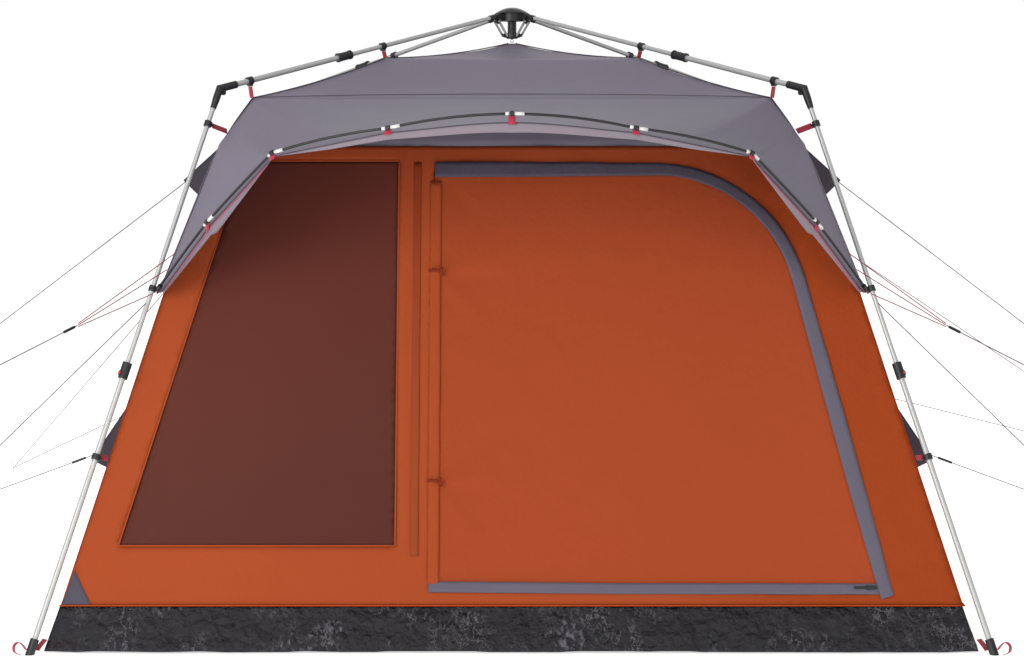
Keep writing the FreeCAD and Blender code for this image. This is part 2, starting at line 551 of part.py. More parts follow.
def make_arm():
    tongue = disc(HUB_PIVOT, EYE, -TONGUE, TONGUE)
    tongue = tongue.fuse(bar(HUB_PIVOT, on_arm(ARM_SOCKET_START + 4), EYE - 2, -TONGUE, TONGUE))
    lug = strut_pin_top()
    tongue = tongue.fuse(bar(HUB_PIVOT, lug, STRUT_BAR_HALF, -TONGUE, TONGUE))
    tongue = tongue.fuse(disc(lug, STRUT_BAR_HALF, -TONGUE, TONGUE))
    tongue = tongue.fuse(disc(lug, STRUT_BAR_HALF - 1, -STRUT_GAP + EAR_GAP, STRUT_GAP - EAR_GAP))
    socket = rod(on_arm(ARM_SOCKET_START), on_arm(ARM_SOCKET_END), SMALL_TUBE + ARM_SOCKET_WALL)
    fitting = tongue.fuse(socket).cut(rod(on_arm(ARM_TUBE_START), on_arm(ARM_SOCKET_END + 1), SMALL_TUBE))
    fitting = fitting.cut(bore(HUB_PIVOT, PIN + RUN_CLEAR))
    tube = rod(on_arm(ARM_TUBE_START), on_arm(ARM_LOCK_AT + ARM_OVERLAP), SMALL_TUBE, SMALL_TUBE - SMALL_WALL)
    outer_end = ARM_LENGTH - ELBOW_TUBE_END
    outer = rod(on_arm(ARM_LOCK_AT), on_arm(outer_end), BIG_TUBE, BIG_BORE)
    lock_start, lock_end = ARM_LOCK_AT - ARM_LOCK_LENGTH / 2, ARM_LOCK_AT + ARM_LOCK_LENGTH / 2
    lock = rod(on_arm(lock_start), on_arm(lock_end), ARM_LOCK_RADIUS)
    for edge in (lock_start, lock_end - LOCK_RIM_WIDE):
        lock = lock.fuse(rod(on_arm(edge), on_arm(edge + LOCK_RIM_WIDE), ARM_LOCK_RADIUS + LOCK_RIM_HIGH))
    lock = lock.cut(rod(on_arm(ARM_LOCK_AT), on_arm(lock_end + 1), BIG_TUBE))
    lock = lock.cut(rod(on_arm(lock_start - 1), on_arm(ARM_LOCK_AT + 1), BIG_BORE))
    socket = rod(on_arm(ARM_LENGTH - ELBOW_SOCKET_LENGTH), on_arm(ARM_LENGTH + 30), ELBOW_SOCKET)
    mitre = ELBOW_PIVOT.add(V(MITRE_NORMAL).multiply(EAR_GAP))
    socket = socket.common(half_space(mitre, MITRE_NORMAL))
    for low, high in ear_plates():
        foot = ELBOW_PIVOT.add(V(ARM_OUT.z, 0, -ARM_OUT.x).multiply(-ELBOW_OFFSET))
        web = bar(ELBOW_PIVOT, foot, EYE, low, high).common(half_space(mitre, MITRE_NORMAL))
        socket = socket.fuse(disc(ELBOW_PIVOT, EYE, low, high).fuse(web))
    socket = socket.cut(disc(ELBOW_PIVOT, EYE + EAR_GAP, -TONGUE - EAR_GAP, TONGUE + EAR_GAP))
    socket = socket.cut(rod(on_arm(outer_end - ELBOW_SOCKET_LENGTH - 8), on_arm(outer_end), BIG_TUBE))
    socket = socket.cut(bore(ELBOW_PIVOT, PIN))
    edge = TONGUE + EAR_GAP + EAR
    pin = disc(ELBOW_PIVOT, PIN, -edge, edge)
    for low, high in ((edge, edge + PIN_HEAD_HIGH), (-edge - PIN_HEAD_HIGH, -edge)):
        pin = pin.fuse(disc(ELBOW_PIVOT, PIN_HEAD, low, high))
    return {"arm_inner": [fitting, tube], "arm_outer": [outer, lock, socket, pin]}


def make_leg():
    socket = rod(on_leg(-30), on_leg(40), ELBOW_SOCKET - 0.5)
    taper = Part.makeCone(ELBOW_SOCKET - 0.5, SMALL_TUBE + 2.0, 34, on_leg(39.5), LEG_DOWN)
    socket = socket.fuse(taper)
    flip = V(MITRE_NORMAL).negative()
    mitre = ELBOW_PIVOT.add(V(flip).multiply(EAR_GAP))
    socket = socket.common(half_space(mitre, flip))
    foot = ELBOW_PIVOT.add(V(-LEG_DOWN.z, 0, LEG_DOWN.x).multiply(ELBOW_OFFSET))
    web = bar(ELBOW_PIVOT, foot, EYE, -TONGUE, TONGUE).common(half_space(mitre, flip))
    socket = socket.fuse(disc(ELBOW_PIVOT, EYE, -TONGUE, TONGUE).fuse(web))
    side_room = TONGUE + EAR_GAP - 0.05
    for low, high in ((side_room, THROUGH), (-THROUGH, -side_room)):
        socket = socket.cut(disc(ELBOW_PIVOT, EYE + EAR_GAP, low, high))
    socket = socket.cut(rod(on_leg(LEG_TUBE_START), on_leg(LEG_TUBE_START + 70), SMALL_TUBE))
    socket = socket.cut(bore(ELBOW_PIVOT, PIN + RUN_CLEAR))
    upper_end = on_leg(LEG_LOCK_AT + LEG_OVERLAP)
    upper = rod(on_leg(LEG_TUBE_START), upper_end, SMALL_TUBE, SMALL_TUBE - SMALL_WALL)
    foot_top = LEG_LENGTH - FOOT_LENGTH
    lower = rod(on_leg(LEG_LOCK_AT), on_leg(foot_top + FOOT_CUP), BIG_TUBE, BIG_BORE)
    start, end = LEG_LOCK_AT - LEG_LOCK_LENGTH / 2, LEG_LOCK_AT + LEG_LOCK_LENGTH / 2
    lock = rod(on_leg(start), on_leg(end), LEG_LOCK_RADIUS)
    boss = rod(button_at(SMALL_TUBE), button_at(LEG_LOCK_RADIUS + LOCK_RIM_HIGH), BUTTON_RADIUS + BUTTON_WALL)
    lock = lock.fuse(boss).cut(rod(on_leg(LEG_LOCK_AT), on_leg(end + 1), BIG_TUBE))
    lock = lock.cut(rod(on_leg(start - 1), on_leg(LEG_LOCK_AT + 1), BIG_BORE))
    lock = lock.cut(rod(button_at(BIG_TUBE - 2), button_at(40), BUTTON_RADIUS + RUN_CLEAR))
    button = rod(button_at(BIG_TUBE + BUTTON_TRAVEL + 0.5), button_at(LEG_LOCK_RADIUS + BUTTON_PROUD),
                 BUTTON_RADIUS)
    foot = rod(on_leg(foot_top), on_leg(LEG_LENGTH + 20), FOOT_RADIUS)
    foot = foot.cut(rod(on_leg(foot_top - 1), on_leg(foot_top + FOOT_CUP), BIG_TUBE))
    foot = foot.cut(Part.makeBox(200, 200, 100, V(FOOT_R - 100, -100, -100)))
    return {"leg_upper": [socket, upper], "leg_lower": [lower, lock], "foot": [foot],
            "leg_button": [button]}


def button_at(distance):
    """Point on the button's axis, which stands square to the leg on its outer side."""
    out = V(-LEG_DOWN.z, 0, LEG_DOWN.x)
    middle = LEG_LOCK_AT + LEG_LOCK_LENGTH / 2 - BUTTON_DOWN - BUTTON_RADIUS
    return on_leg(middle).add(V(out).multiply(distance))


STRUT_GAP = TONGUE + EAR_GAP + EAR + 0.5          # from the middle plane to the strut's bars


def strut_pin_top():
    return HUB_PIVOT.add(V(STRUT_LUG_OUT, 0, -STRUT_LUG_DROP))


COLLAR_PIN = V(COLLAR_LUG_R, 0, STEM_BOTTOM + COLLAR_HEIGHT / 2)


def make_strut():
    top = strut_pin_top()
    bars = []
    for low, high in ((STRUT_GAP, STRUT_GAP + STRUT_BAR), (-STRUT_GAP - STRUT_BAR, -STRUT_GAP)):
        piece = bar(COLLAR_PIN, top, STRUT_BAR_HALF - 1, low, high)
        for end in (COLLAR_PIN, top):
            piece = piece.fuse(disc(end, STRUT_BAR_HALF, low, high))
        bars.append(piece.cut(bore(COLLAR_PIN, PIN)))
    pin = disc(COLLAR_PIN, PIN, -STRUT_GAP - STRUT_BAR, STRUT_GAP + STRUT_BAR)
    return bars + [pin]


def make_hub():
    core_height = HUB_CAP_BASE - HUB_CORE_BOTTOM
    core = Part.makeCylinder(HUB_CORE_RADIUS, core_height, V(0, 0, HUB_CORE_BOTTOM))
    ears = []
    for azimuth in CORNERS.values():
        for low, high in ear_plates():
            root = V(HUB_CORE_RADIUS - 18, 0, HUB_PIVOT_Z)
            ear = disc(HUB_PIVOT, HUB_EYE, low, high).fuse(bar(root, HUB_PIVOT, HUB_EYE, low, high))
            ear = ear.cut(bore(HUB_PIVOT, PIN))
            ears.append(turned(ear, azimuth))
    core = core.multiFuse(ears)
    for azimuth in CORNERS.values():
        slot = bar(V(HUB_CORE_RADIUS - 7, 0, HUB_PIVOT_Z), V(HUB_PIVOT_R + 20, 0, HUB_PIVOT_Z), 2 * HUB_EYE,
                   -TONGUE - EAR_GAP, TONGUE + EAR_GAP)
        core = core.cut(turned(slot, azimuth))
    pins = []
    for azimuth in CORNERS.values():
        edge = TONGUE + EAR_GAP + EAR
        pins.append(turned(disc(HUB_PIVOT, PIN, -edge, edge), azimuth))
    dome_radius = (HUB_CAP_RADIUS ** 2 + HUB_CAP_HEIGHT ** 2) / (2 * HUB_CAP_HEIGHT)
    dome = Part.makeSphere(dome_radius, V(0, 0, HUB_CAP_BASE + HUB_CAP_HEIGHT - dome_radius))
    cap = dome.common(Part.makeCylinder(HUB_CAP_RADIUS, HUB_CAP_HEIGHT + 1, V(0, 0, HUB_CAP_BASE)))
    top = Part.makeCylinder(STEM_RADIUS, HUB_CORE_BOTTOM - STEM_BOTTOM, V(0, 0, STEM_BOTTOM))
    for i in range(STEM_GROOVES):
        at = V(0, 0, STEM_BOTTOM + COLLAR_HEIGHT + 4 + GROOVE_PITCH * i)
        groove = Part.makeCylinder(STEM_RADIUS + 1, GROOVE_WIDE, at)
        top = top.cut(groove.cut(Part.makeCylinder(STEM_RADIUS - GROOVE_DEEP, GROOVE_WIDE, at)))
    stop_top = STEM_BOTTOM - EAR_GAP
    stop = Part.makeCylinder(STEM_RADIUS + STEM_STOP_OUT, STEM_STOP_HIGH, V(0, 0, stop_top - STEM_STOP_HIGH))
    neck = Part.makeCylinder(STEM_RADIUS - STEM_STOP_OUT, EAR_GAP, V(0, 0, stop_top))
    add("hub", core, cap, top.fuse(neck).fuse(stop), *pins)
    ring_centre = V(0, 0, stop_top - STEM_STOP_HIGH - HOOK_RING - HOOK_WIRE)
    add("hub", Part.makeTorus(HOOK_RING, HOOK_WIRE, ring_centre, V(0, 1, 0)))
    collar = Part.makeCylinder(COLLAR_RADIUS, COLLAR_HEIGHT, V(0, 0, STEM_BOTTOM))
    for azimuth in CORNERS.values():
        lug = bar(V(COLLAR_RADIUS - 6, 0, COLLAR_PIN.z), COLLAR_PIN, STRUT_BAR_HALF, -STRUT_GAP + EAR_GAP,
                  STRUT_GAP - EAR_GAP).fuse(disc(COLLAR_PIN, STRUT_BAR_HALF, -STRUT_GAP + EAR_GAP,
                                                 STRUT_GAP - EAR_GAP))
        lug = lug.cut(bore(COLLAR_PIN, PIN + RUN_CLEAR))
        collar = collar.fuse(turned(lug, azimuth))
    collar = collar.cut(Part.makeCylinder(STEM_RADIUS + RUN_CLEAR, COLLAR_HEIGHT, V(0, 0, STEM_BOTTOM)))
    add("hub_collar", collar)


def make_frame():
    make_hub()
    pieces = {**make_arm(), **make_leg(), "strut": make_strut()}
    for corner, azimuth in CORNERS.items():
        for name, solids in pieces.items():
            add(f"{name}_{corner}", *[turned(s, azimuth) for s in solids])


# ---- clips, straps -----------------------------------------------------------------------------------------
def strap(start, end, width=STRAP_WIDTH, thick=STRAP_THICK):
    """Flat webbing from start to end in the corner's plane, its width across the plane."""
    run = end.sub(start)
    side = V(0, width / 2, 0)
    up = unit(V(-run.z, 0, run.x)).multiply(thick / 2)
    outline = [start.sub(side).sub(up), start.add(side).sub(up), start.add(side).add(up),
               start.sub(side).add(up)]
    return prism(outline, run)


def clip_places():
    """(centre on the tube, direction of the tube, tube radius, point on the fabric) for one corner."""
    places = []
    for out, radius, half, height in ((RIDGE_CLIP_OUT, SMALL_TUBE, RIDGE_HALF, RIDGE_Z),
                                      (EAVE_CLIP_OUT, BIG_TUBE, EAVE_HALF, EAVE_Z)):
        r = half * ROOT2 + out
        places.append((V(r, 0, arm_height(r)), ARM_OUT, radius, V(half * ROOT2, 0, height)))
    under_eave, low = LEG_STRAP_HEIGHTS[0], LEG_STRAP_HEIGHTS[2]
    above = ring_half(under_eave, (SHOULDER_HALF, SHOULDER_Z), (EAVE_HALF, EAVE_Z))
    sewn_to = (above, HEM_HALF, side_half(low))
    for z, radius, half, height in zip(LEG_CLIP_HEIGHTS, (SMALL_TUBE, SMALL_TUBE, BIG_TUBE), sewn_to,
                                       LEG_STRAP_HEIGHTS):
        places.append((V(leg_reach(z), 0, z), LEG_DOWN, radius, V(half * ROOT2, 0, height)))
    return places


def make_clips():
    clips, straps = [], []
    for centre, run, radius, fabric in clip_places():
        half = V(run).multiply(CLIP_LENGTH / 2)
        ring = rod(centre.sub(half), centre.add(half), radius + CLIP_WALL, radius + CLEAR)
        towards = unit(fabric.sub(centre))
        towards = unit(towards.sub(V(run).multiply(towards.dot(run))))
        block_start = centre.add(V(towards).multiply(radius + 2))
        block_end = centre.add(V(towards).multiply(radius + CLIP_WALL + 4))
        block = strap(block_start, block_end, STRAP_WIDTH + 2, CLIP_BLOCK)
        block = block.cut(rod(centre.sub(half).sub(half), centre.add(half).add(half), radius + CLEAR))
        clips.append(ring.fuse(block))
        start = block_end.add(unit(fabric.sub(block_end)).multiply(CLEAR + 1))
        straps.append(strap(start, fabric.sub(unit(fabric.sub(start)).multiply(STRAP_SHORT))))
    for azimuth in CORNERS.values():
        add("pole_clips", *[turned(c, azimuth) for c in clips])
        add("webbing_straps", *[turned(s, azimuth) for s in straps])
    points = pole_line()
    for i in range(1, len(points) - 1):
        run = unit(points[i + 1].sub(points[i - 1]))
        half = V(run).multiply(AWNING_CLIP_LENGTH / 2)
        add("pole_clips", rod(points[i].sub(half), points[i].add(half), AWNING_POLE_RADIUS + AWNING_CLIP_WALL,
                              AWNING_POLE_RADIUS - 1))
        down = AWNING_POLE_RADIUS + TAB_DOWN + TAB_HEIGHT
        tab_foot = points[i].sub(V(STRAP_WIDTH / 2, 8 * STRAP_THICK, down))
        add("webbing_straps", Part.makeBox(STRAP_WIDTH, STRAP_THICK, TAB_HEIGHT, tab_foot))
    end, before = points[-1], points[-2]
    cup = rod(along(end, before, -6.0), along(end, before, 18.0), AWNING_POLE_RADIUS + 3.5)
    cup = cup.cut(rod(along(end, before, 8.0 - 0.1), along(end, before, 30.0), AWNING_POLE_RADIUS + 0.1))
    leg_clip = turned(Part.Vertex(clip_places()[3][0]), CORNERS["front_right"]).Point
    arm = rod(along(leg_clip, end, SMALL_TUBE + CLIP_WALL + 0.6), along(end, leg_clip, 4.0), 4.0).cut(cup)
    for solid in (cup, arm.Solids[0]):
        add("pole_clips", solid, mirror_x(solid))


def make_foot_straps():
    """Strap from each corner of the tub to its foot, and the loop that the peg goes through."""
    start = V(FLOOR_HALF * ROOT2 + 2, 0, 14)
    end = V(FOOT_R - FOOT_RADIUS - 12, 0, 12)
    run = strap(start, end, FOOT_STRAP_WIDTH, FOOT_STRAP_THICK)
    width = FOOT_STRAP_WIDTH - 6
    centre = V(FOOT_R + FOOT_RADIUS + FOOT_TAIL + 4, -width / 2, FOOT_TAIL + FOOT_STRAP_THICK)
    tail = Part.makeCylinder(FOOT_TAIL, width, centre, V(0, 1, 0))
    tail = tail.cut(Part.makeCylinder(FOOT_TAIL - FOOT_STRAP_THICK, width, centre, V(0, 1, 0)))
    for azimuth in CORNERS.values():
        add("webbing_straps", turned(run, azimuth), turned(tail, azimuth))


# ---- guy lines ---------------------------------------------------------------------------------------------
LOWER_TENSIONER, AWNING_TENSIONER = 55.0, 22.0        # along the line from its upper end
JOIN_STEP = 5.0
BRIDLE = [V(-74.0, -113.0, 124.0), V(-38.0, -63.0, 66.0), V(16.0, -28.0, -16.0)]   # from the pole's end
BRIDLE_JOIN = V(177.0, -538.0, -84.0)
AWNING_GUY = V(192.0, -400.0, -104.0)                 # from one end of a line to the other
UPPER_GUY, LOWER_GUY, FRONT_GUY = V(760.0, 0, -575.0), V(413.0, 0, -152.0), V(384.0, -666.0, -422.0)
FRONT_GUY_AT = V(39.0, -22.0, -48.0)                  # from the pole's end
REAR_PEG = V(2541.0, 3234.0, 0.0)
PEG_RADIUS, PEG_HEIGHT = 3.0, 26.0
REAR_HEIGHTS_LEFT, REAR_HEIGHTS_RIGHT = (1435.0, 623.0), (1386.0, 617.0)
REAR_ENDS_RIGHT = [V(2477.0, 2426.0, 544.0), V(2483.0, 2434.0, 274.0)]
REAR_OFF_TUBE = (16.0, 20.0)                          # lines start this far from the leg's centre line


def line(name, start, end, knot=True):
    """One taut, straight length of guy line; where it ends free it has a round knot."""
    whole = rod(start, end, GUY)
    section = math.pi * GUY ** 2
    print(f"{name}: length {end.sub(start).Length:.0f}, no bends, volume {whole.Volume:.0f}, "
          f"section x length {section * end.sub(start).Length:.0f}")
    if not knot:
        add(name, whole)
        return
    ball = Part.makeSphere(GUY_KNOT, end)
    add(name, whole.cut(ball), ball)


def tensioner(start, towards, distance):
    """Tubular line tensioner round a guy line."""
    a, b = along(start, towards, distance), along(start, towards, distance + TENSIONER_LENGTH)
    add("guy_tensioners", rod(a, b, TENSIONER_RADIUS, GUY + CLEAR))


def left(v):
    return V(-v.x, v.y, v.z)


def leg_point(z):
    """Point on the rear right leg's centre line at height z."""
    return V(leg_reach(z) / ROOT2, leg_reach(z) / ROOT2, z)


def make_guys():
    pole_end = V(*POLE_END)
    for side, put in (("left", left), ("right", lambda v: V(v))):
        for name, vent, run in (("upper", UPPER_VENT, UPPER_GUY), ("lower", LOWER_VENT, LOWER_GUY)):
            tip, foot = vent[1]
            start = put(V(tip + 3, 0, foot))
            end = put(V(tip + 3, 0, foot).add(run))
            line(f"guy_{name}_{side}", start, end)
            if name == "lower":
                tensioner(start, end, LOWER_TENSIONER)
        join = pole_end.add(BRIDLE_JOIN)
        away = put(join.add(AWNING_GUY))
        for i, offset in enumerate(BRIDLE):
            knot = join.add(V(0, 0, JOIN_STEP * (1 - i)))
            line(f"guy_awning_{side}", put(pole_end.add(offset)), put(knot), knot=False)
        line(f"guy_awning_{side}", along(put(join), away, 6.0), away)
        tensioner(put(join), away, AWNING_TENSIONER)
        start = pole_end.add(FRONT_GUY_AT)
        line(f"guy_front_{side}", put(start), put(start.add(FRONT_GUY)))
    for i, off in enumerate(REAR_OFF_TUBE):
        hold = left(REAR_PEG.add(V(9 * i - 12, 9 * i - 12, 16 - 9 * i)))
        start = left(leg_point(REAR_HEIGHTS_LEFT[i]))
        line("guy_rear_left", along(start, hold, off), hold, knot=False)
        start = leg_point(REAR_HEIGHTS_RIGHT[i])
        line("guy_rear_right", along(start, REAR_ENDS_RIGHT[i], off), REAR_ENDS_RIGHT[i])
    top = REAR_PEG.add(V(0, 0, PEG_HEIGHT))
    peg = rod(left(REAR_PEG), left(top), PEG_RADIUS)
    add("ground_peg", peg.fuse(rod(left(top), left(top.add(V(14, 0, 4))), PEG_RADIUS)))


def main():
    make_groundsheet()
    make_walls()
    make_door()
    make_fly()
    make_awning()
    make_awning_pole()
    make_vents()
    make_frame()
    make_clips()
    make_foot_straps()
    make_guys()
    os.makedirs("parts", exist_ok=True)
    for name, solids in NODES.items():
        for solid in solids:
            if not solid.isValid() or solid.Volume <= 0:
                print("bad solid in", name, solid.ShapeType, solid.Volume)
        shape = solids[0] if len(solids) == 1 else Part.makeCompound(solids)
        shape.exportStep(f"parts/{name}.step")
    print(len(NODES), "nodes")


main()
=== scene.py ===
import math

import bmesh
import bpy
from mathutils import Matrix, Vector, geometry, noise


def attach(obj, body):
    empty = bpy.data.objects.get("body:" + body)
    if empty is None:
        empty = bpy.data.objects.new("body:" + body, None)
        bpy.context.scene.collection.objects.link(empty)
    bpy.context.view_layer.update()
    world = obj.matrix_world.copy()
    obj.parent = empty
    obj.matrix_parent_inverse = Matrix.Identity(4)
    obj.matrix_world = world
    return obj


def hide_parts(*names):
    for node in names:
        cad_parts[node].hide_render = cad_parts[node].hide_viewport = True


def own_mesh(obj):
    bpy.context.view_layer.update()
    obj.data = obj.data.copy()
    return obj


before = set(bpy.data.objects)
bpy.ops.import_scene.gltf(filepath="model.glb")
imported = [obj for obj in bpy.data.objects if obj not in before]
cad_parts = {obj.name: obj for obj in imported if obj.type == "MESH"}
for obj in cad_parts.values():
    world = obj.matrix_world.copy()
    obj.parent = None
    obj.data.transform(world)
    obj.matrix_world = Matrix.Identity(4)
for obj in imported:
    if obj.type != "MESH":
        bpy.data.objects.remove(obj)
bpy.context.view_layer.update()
SHELL = "tent_shell"
SIDES = (("left", -1), ("right", 1))
SQUARE = ((-1, -1), (1, -1), (1, 1), (-1, 1))      # signs of x and y round the four corners
CORNERS = {"front_left": 225.0, "front_right": 315.0, "rear_right": 45.0, "rear_left": 135.0}

# ---- sizes shared with the CAD model, in metres ----
TUB_HALF, TUB_Z, FLOOR_HALF = 1.475, 0.145, 1.523
BEND_HALF, BEND_Z = 1.173, 1.150
TOP_HALF, TOP_Z = 0.985, 1.640
PEAK_Z, RIDGE_HALF, RIDGE_Z = 2.030, 0.457, 1.957
EAVE_HALF, EAVE_Z = 0.895, 1.805
SHOULDER_HALF, SHOULDER_Z = 1.001, 1.647
HEM_HALF, HEM_Z = 1.184, 1.150
DOOR_LEFT, DOOR_BOTTOM, DOOR_TOP = -0.262, 0.200, 1.560
DOOR_RIGHT_BOTTOM, DOOR_LEAN, DOOR_ROUND = 1.217, 0.2543, 0.488
DOOR_GAP = 0.002
WINDOW = [(-1.292, 0.332), (-0.384, 0.332), (-0.384, 1.590), (-0.887, 1.590), (-0.977, 1.375)]
POLE = [(0.0, -1.860, 1.740), (0.383, -1.820, 1.696), (0.752, -1.700, 1.619), (0.987, -1.450, 1.395),
        (1.180, -1.212, 1.166)]
HUB_PIVOT, ELBOW, FOOT = (0.075, 2.127), (1.406, 1.835), (2.206, 0.0)      # (r, z) in a corner's plane
ARM_LOCK_R, LEG_LOCK_Z = 0.844, 0.897
THIN, THICK = (0.008, 0.007), (0.0095, 0.00808)      # outer and bore radius of the tubes
HOOK_TOP = 2.0447
TIE_HEIGHTS = (0.536, 1.219)
LEAN = (TUB_HALF - TOP_HALF) / (TOP_Z - TUB_Z)
FRONT_OUT = Vector((0, -1, LEAN)).normalized()
LEG_SLOPE = (FOOT[0] - ELBOW[0]) / ELBOW[1]
ARM_SLOPE = (HUB_PIVOT[1] - ELBOW[1]) / (ELBOW[0] - HUB_PIVOT[0])
ROOT2 = math.sqrt(2)
CLOTH, TARPAULIN = 0.0011, 0.0012      # thickness


# ---- materials ----
def srgb(r, g, b):
    def lin(c):
        c /= 255
        return c / 12.92 if c <= 0.04045 else ((c + 0.055) / 1.055) ** 2.4
    return (lin(r), lin(g), lin(b), 1.0)


OFF, ON = (0, 0, 0, 1), (1, 1, 1, 1)


class Nodes:
    """Short way to build a material's nodes."""

    def __init__(self, name, rough, **sockets):
        self.mat = bpy.data.materials.new(name)
        self.mat.use_nodes = True
        self.tree = self.mat.node_tree
        self.shader = self.tree.nodes["Principled BSDF"]
        self.set("Roughness", rough)
        for key, value in sockets.items():
            self.set(key.replace("_", " "), value)
        self.where = self.tree.nodes.new("ShaderNodeTexCoord").outputs["Object"]

    def set(self, socket, value):
        self.shader.inputs[socket].default_value = value

    def add(self, kind, links=None, **values):
        node = self.tree.nodes.new(kind)
        for key, value in values.items():
            setattr(node, key, value)
        for key, value in (links or {}).items():
            self.feed(node.inputs[key], value)
        return node

    def feed(self, socket, value):
        """Links another node's output to the socket, or sets the socket's own value."""
        if isinstance(value, bpy.types.NodeSocket):
            self.tree.links.new(value, socket)
        else:
            socket.default_value = value

    def noise(self, scale, detail=3.0, stretch=None, rough=0.5):
        where = self.where
        if stretch:
            where = self.add("ShaderNodeMapping", {"Vector": where, "Scale": stretch}).outputs[0]
        node = self.add("ShaderNodeTexNoise", {"Vector": where, "Scale": scale, "Detail": detail,
                                               "Roughness": rough})
        return node.outputs["Fac"]

    def wave(self, scale, axis):
        node = self.add("ShaderNodeTexWave", {"Vector": self.where, "Scale": scale},
                        wave_type="BANDS", bands_direction=axis)
        return node.outputs["Fac"]

    def ramp(self, fac, stops):
        node = self.add("ShaderNodeValToRGB", {"Fac": fac})
        ramp = node.color_ramp
        while len(ramp.elements) < len(stops):
            ramp.elements.new(0.5)
        for element, (place, colour) in zip(ramp.elements, stops):
            element.position = place
            element.color = colour
        return node.outputs["Color"]

    def mix(self, fac, a, b):
        return self.add("ShaderNodeMix", {0: fac, 6: a, 7: b}, data_type="RGBA").outputs[2]

    def times(self, a, b):
        return self.add("ShaderNodeMath", {0: a, 1: b}, operation="MULTIPLY").outputs[0]

    def along(self, axis, low, high):
        """From 0 to 1 between two places on an object axis."""
        place = self.add("ShaderNodeSeparateXYZ", {"Vector": self.where}).outputs[axis]
        return self.add("ShaderNodeMapRange", {"Value": place, "From Min": low, "From Max": high}).outputs[0]

    def colour(self, value):
        self.tree.links.new(value, self.shader.inputs["Base Color"])

    def bump(self, *layers):
        """Each layer is (height, strength, distance in metres)."""
        last = None
        for height, strength, distance in layers:
            links = {"Height": height, "Strength": strength, "Distance": distance}
            if last:
                links["Normal"] = last
            last = self.add("ShaderNodeBump", links).outputs["Normal"]
        self.tree.links.new(last, self.shader.inputs["Normal"])


def shade(colour, factor):
    return tuple(min(1.0, c * factor) for c in colour[:3]) + (1.0,)


def fabric(name, colour, rough=0.85, vary=0.07, crease=1.0, zones=None):
    """Woven polyester: fine weave both ways, soft tone changes, small creases in the bump.

    zones is (axis, (from, to), colour): the cloth turns to that colour between the two places."""
    n = Nodes(name, rough, Specular_IOR_Level=0.1)
    tone = n.noise(2.2, 4.0)
    base = n.mix(tone, shade(colour, 1 - vary), shade(colour, 1 + vary))
    if zones:
        axis, places, second = zones
        other = n.mix(tone, shade(second, 1 - vary), shade(second, 1 + vary))
        base = n.mix(n.along(axis, *places), base, other)
    grain = n.noise(900.0, 1.0)
    n.colour(n.mix(n.ramp(grain, [(0.35, OFF), (0.75, ON)]), base, shade(colour, 1.08)))
    wide = n.noise(9.0, 5.0, rough=0.55)
    n.bump((wide, 0.25 * crease, 0.02), (n.wave(420.0, "X"), 0.08, 0.0004), (n.wave(420.0, "Z"), 0.08, 0.0004),
           (grain, 0.1, 0.0004))
    return n.mat


# The third orange is painted shade: the front wall darkens to it from x 0.55 to 0.95 and beyond, as the light falls
# from the left.
ORANGE, DOOR_ORANGE, RIGHT_SHADE_ORANGE = srgb(164, 73, 38), srgb(161, 70, 37), srgb(148, 58, 17)
WALL = fabric("wall_cloth", ORANGE, zones=(0, (0.55, 0.95), RIGHT_SHADE_ORANGE))
# The pleat darkens from z 0.7 up to 1.4: painted shade under the awning.
PLEAT = fabric("pleat_cloth", srgb(150, 70, 36), zones=(2, (0.7, 1.4), srgb(140, 52, 28)))
SIDE_WALL = fabric("side_wall_cloth", srgb(168, 68, 28))
DOOR = fabric("door_cloth", DOOR_ORANGE, vary=0.04)
FLY = fabric("fly_cloth", srgb(124, 119, 132), rough=0.62, vary=0.06)
FLY_EDGE = fabric("fly_edge_cloth", srgb(131, 121, 130), rough=0.62)
VENT = fabric("vent_cloth", srgb(66, 62, 70), rough=0.65)
# The zip cover darkens from z 1.2 up to 1.5: painted shadow of the awning.
ZIP = fabric("zip_cover_cloth", srgb(100, 95, 108), rough=0.6, vary=0.14, crease=1.6,
             zones=(2, (1.20, 1.50), srgb(62, 56, 68)))
TIE = fabric("tie_cloth", srgb(126, 48, 26))
PATCH = fabric("patch_cloth", srgb(84, 80, 92))


def mesh_cloth():
    # Painted shade: the net's dark brown stands for the shaded inside of the tent seen through it, a little different
    # low and high.
    n = Nodes("window_net_and_inside_shade", 0.8, Specular_IOR_Level=0.1)
    tone = n.noise(1.4, 3.0)
    low = n.mix(tone, srgb(90, 48, 40), srgb(102, 56, 48))
    high = n.mix(tone, srgb(98, 47, 38), srgb(110, 55, 44))
    n.colour(n.mix(n.along(2, 0.5, 1.5), low, high))
    n.bump((n.wave(300.0, "X"), 0.3, 0.0006), (n.wave(300.0, "Z"), 0.3, 0.0006))
    n.set("Alpha", 0.93)
    return n.mat


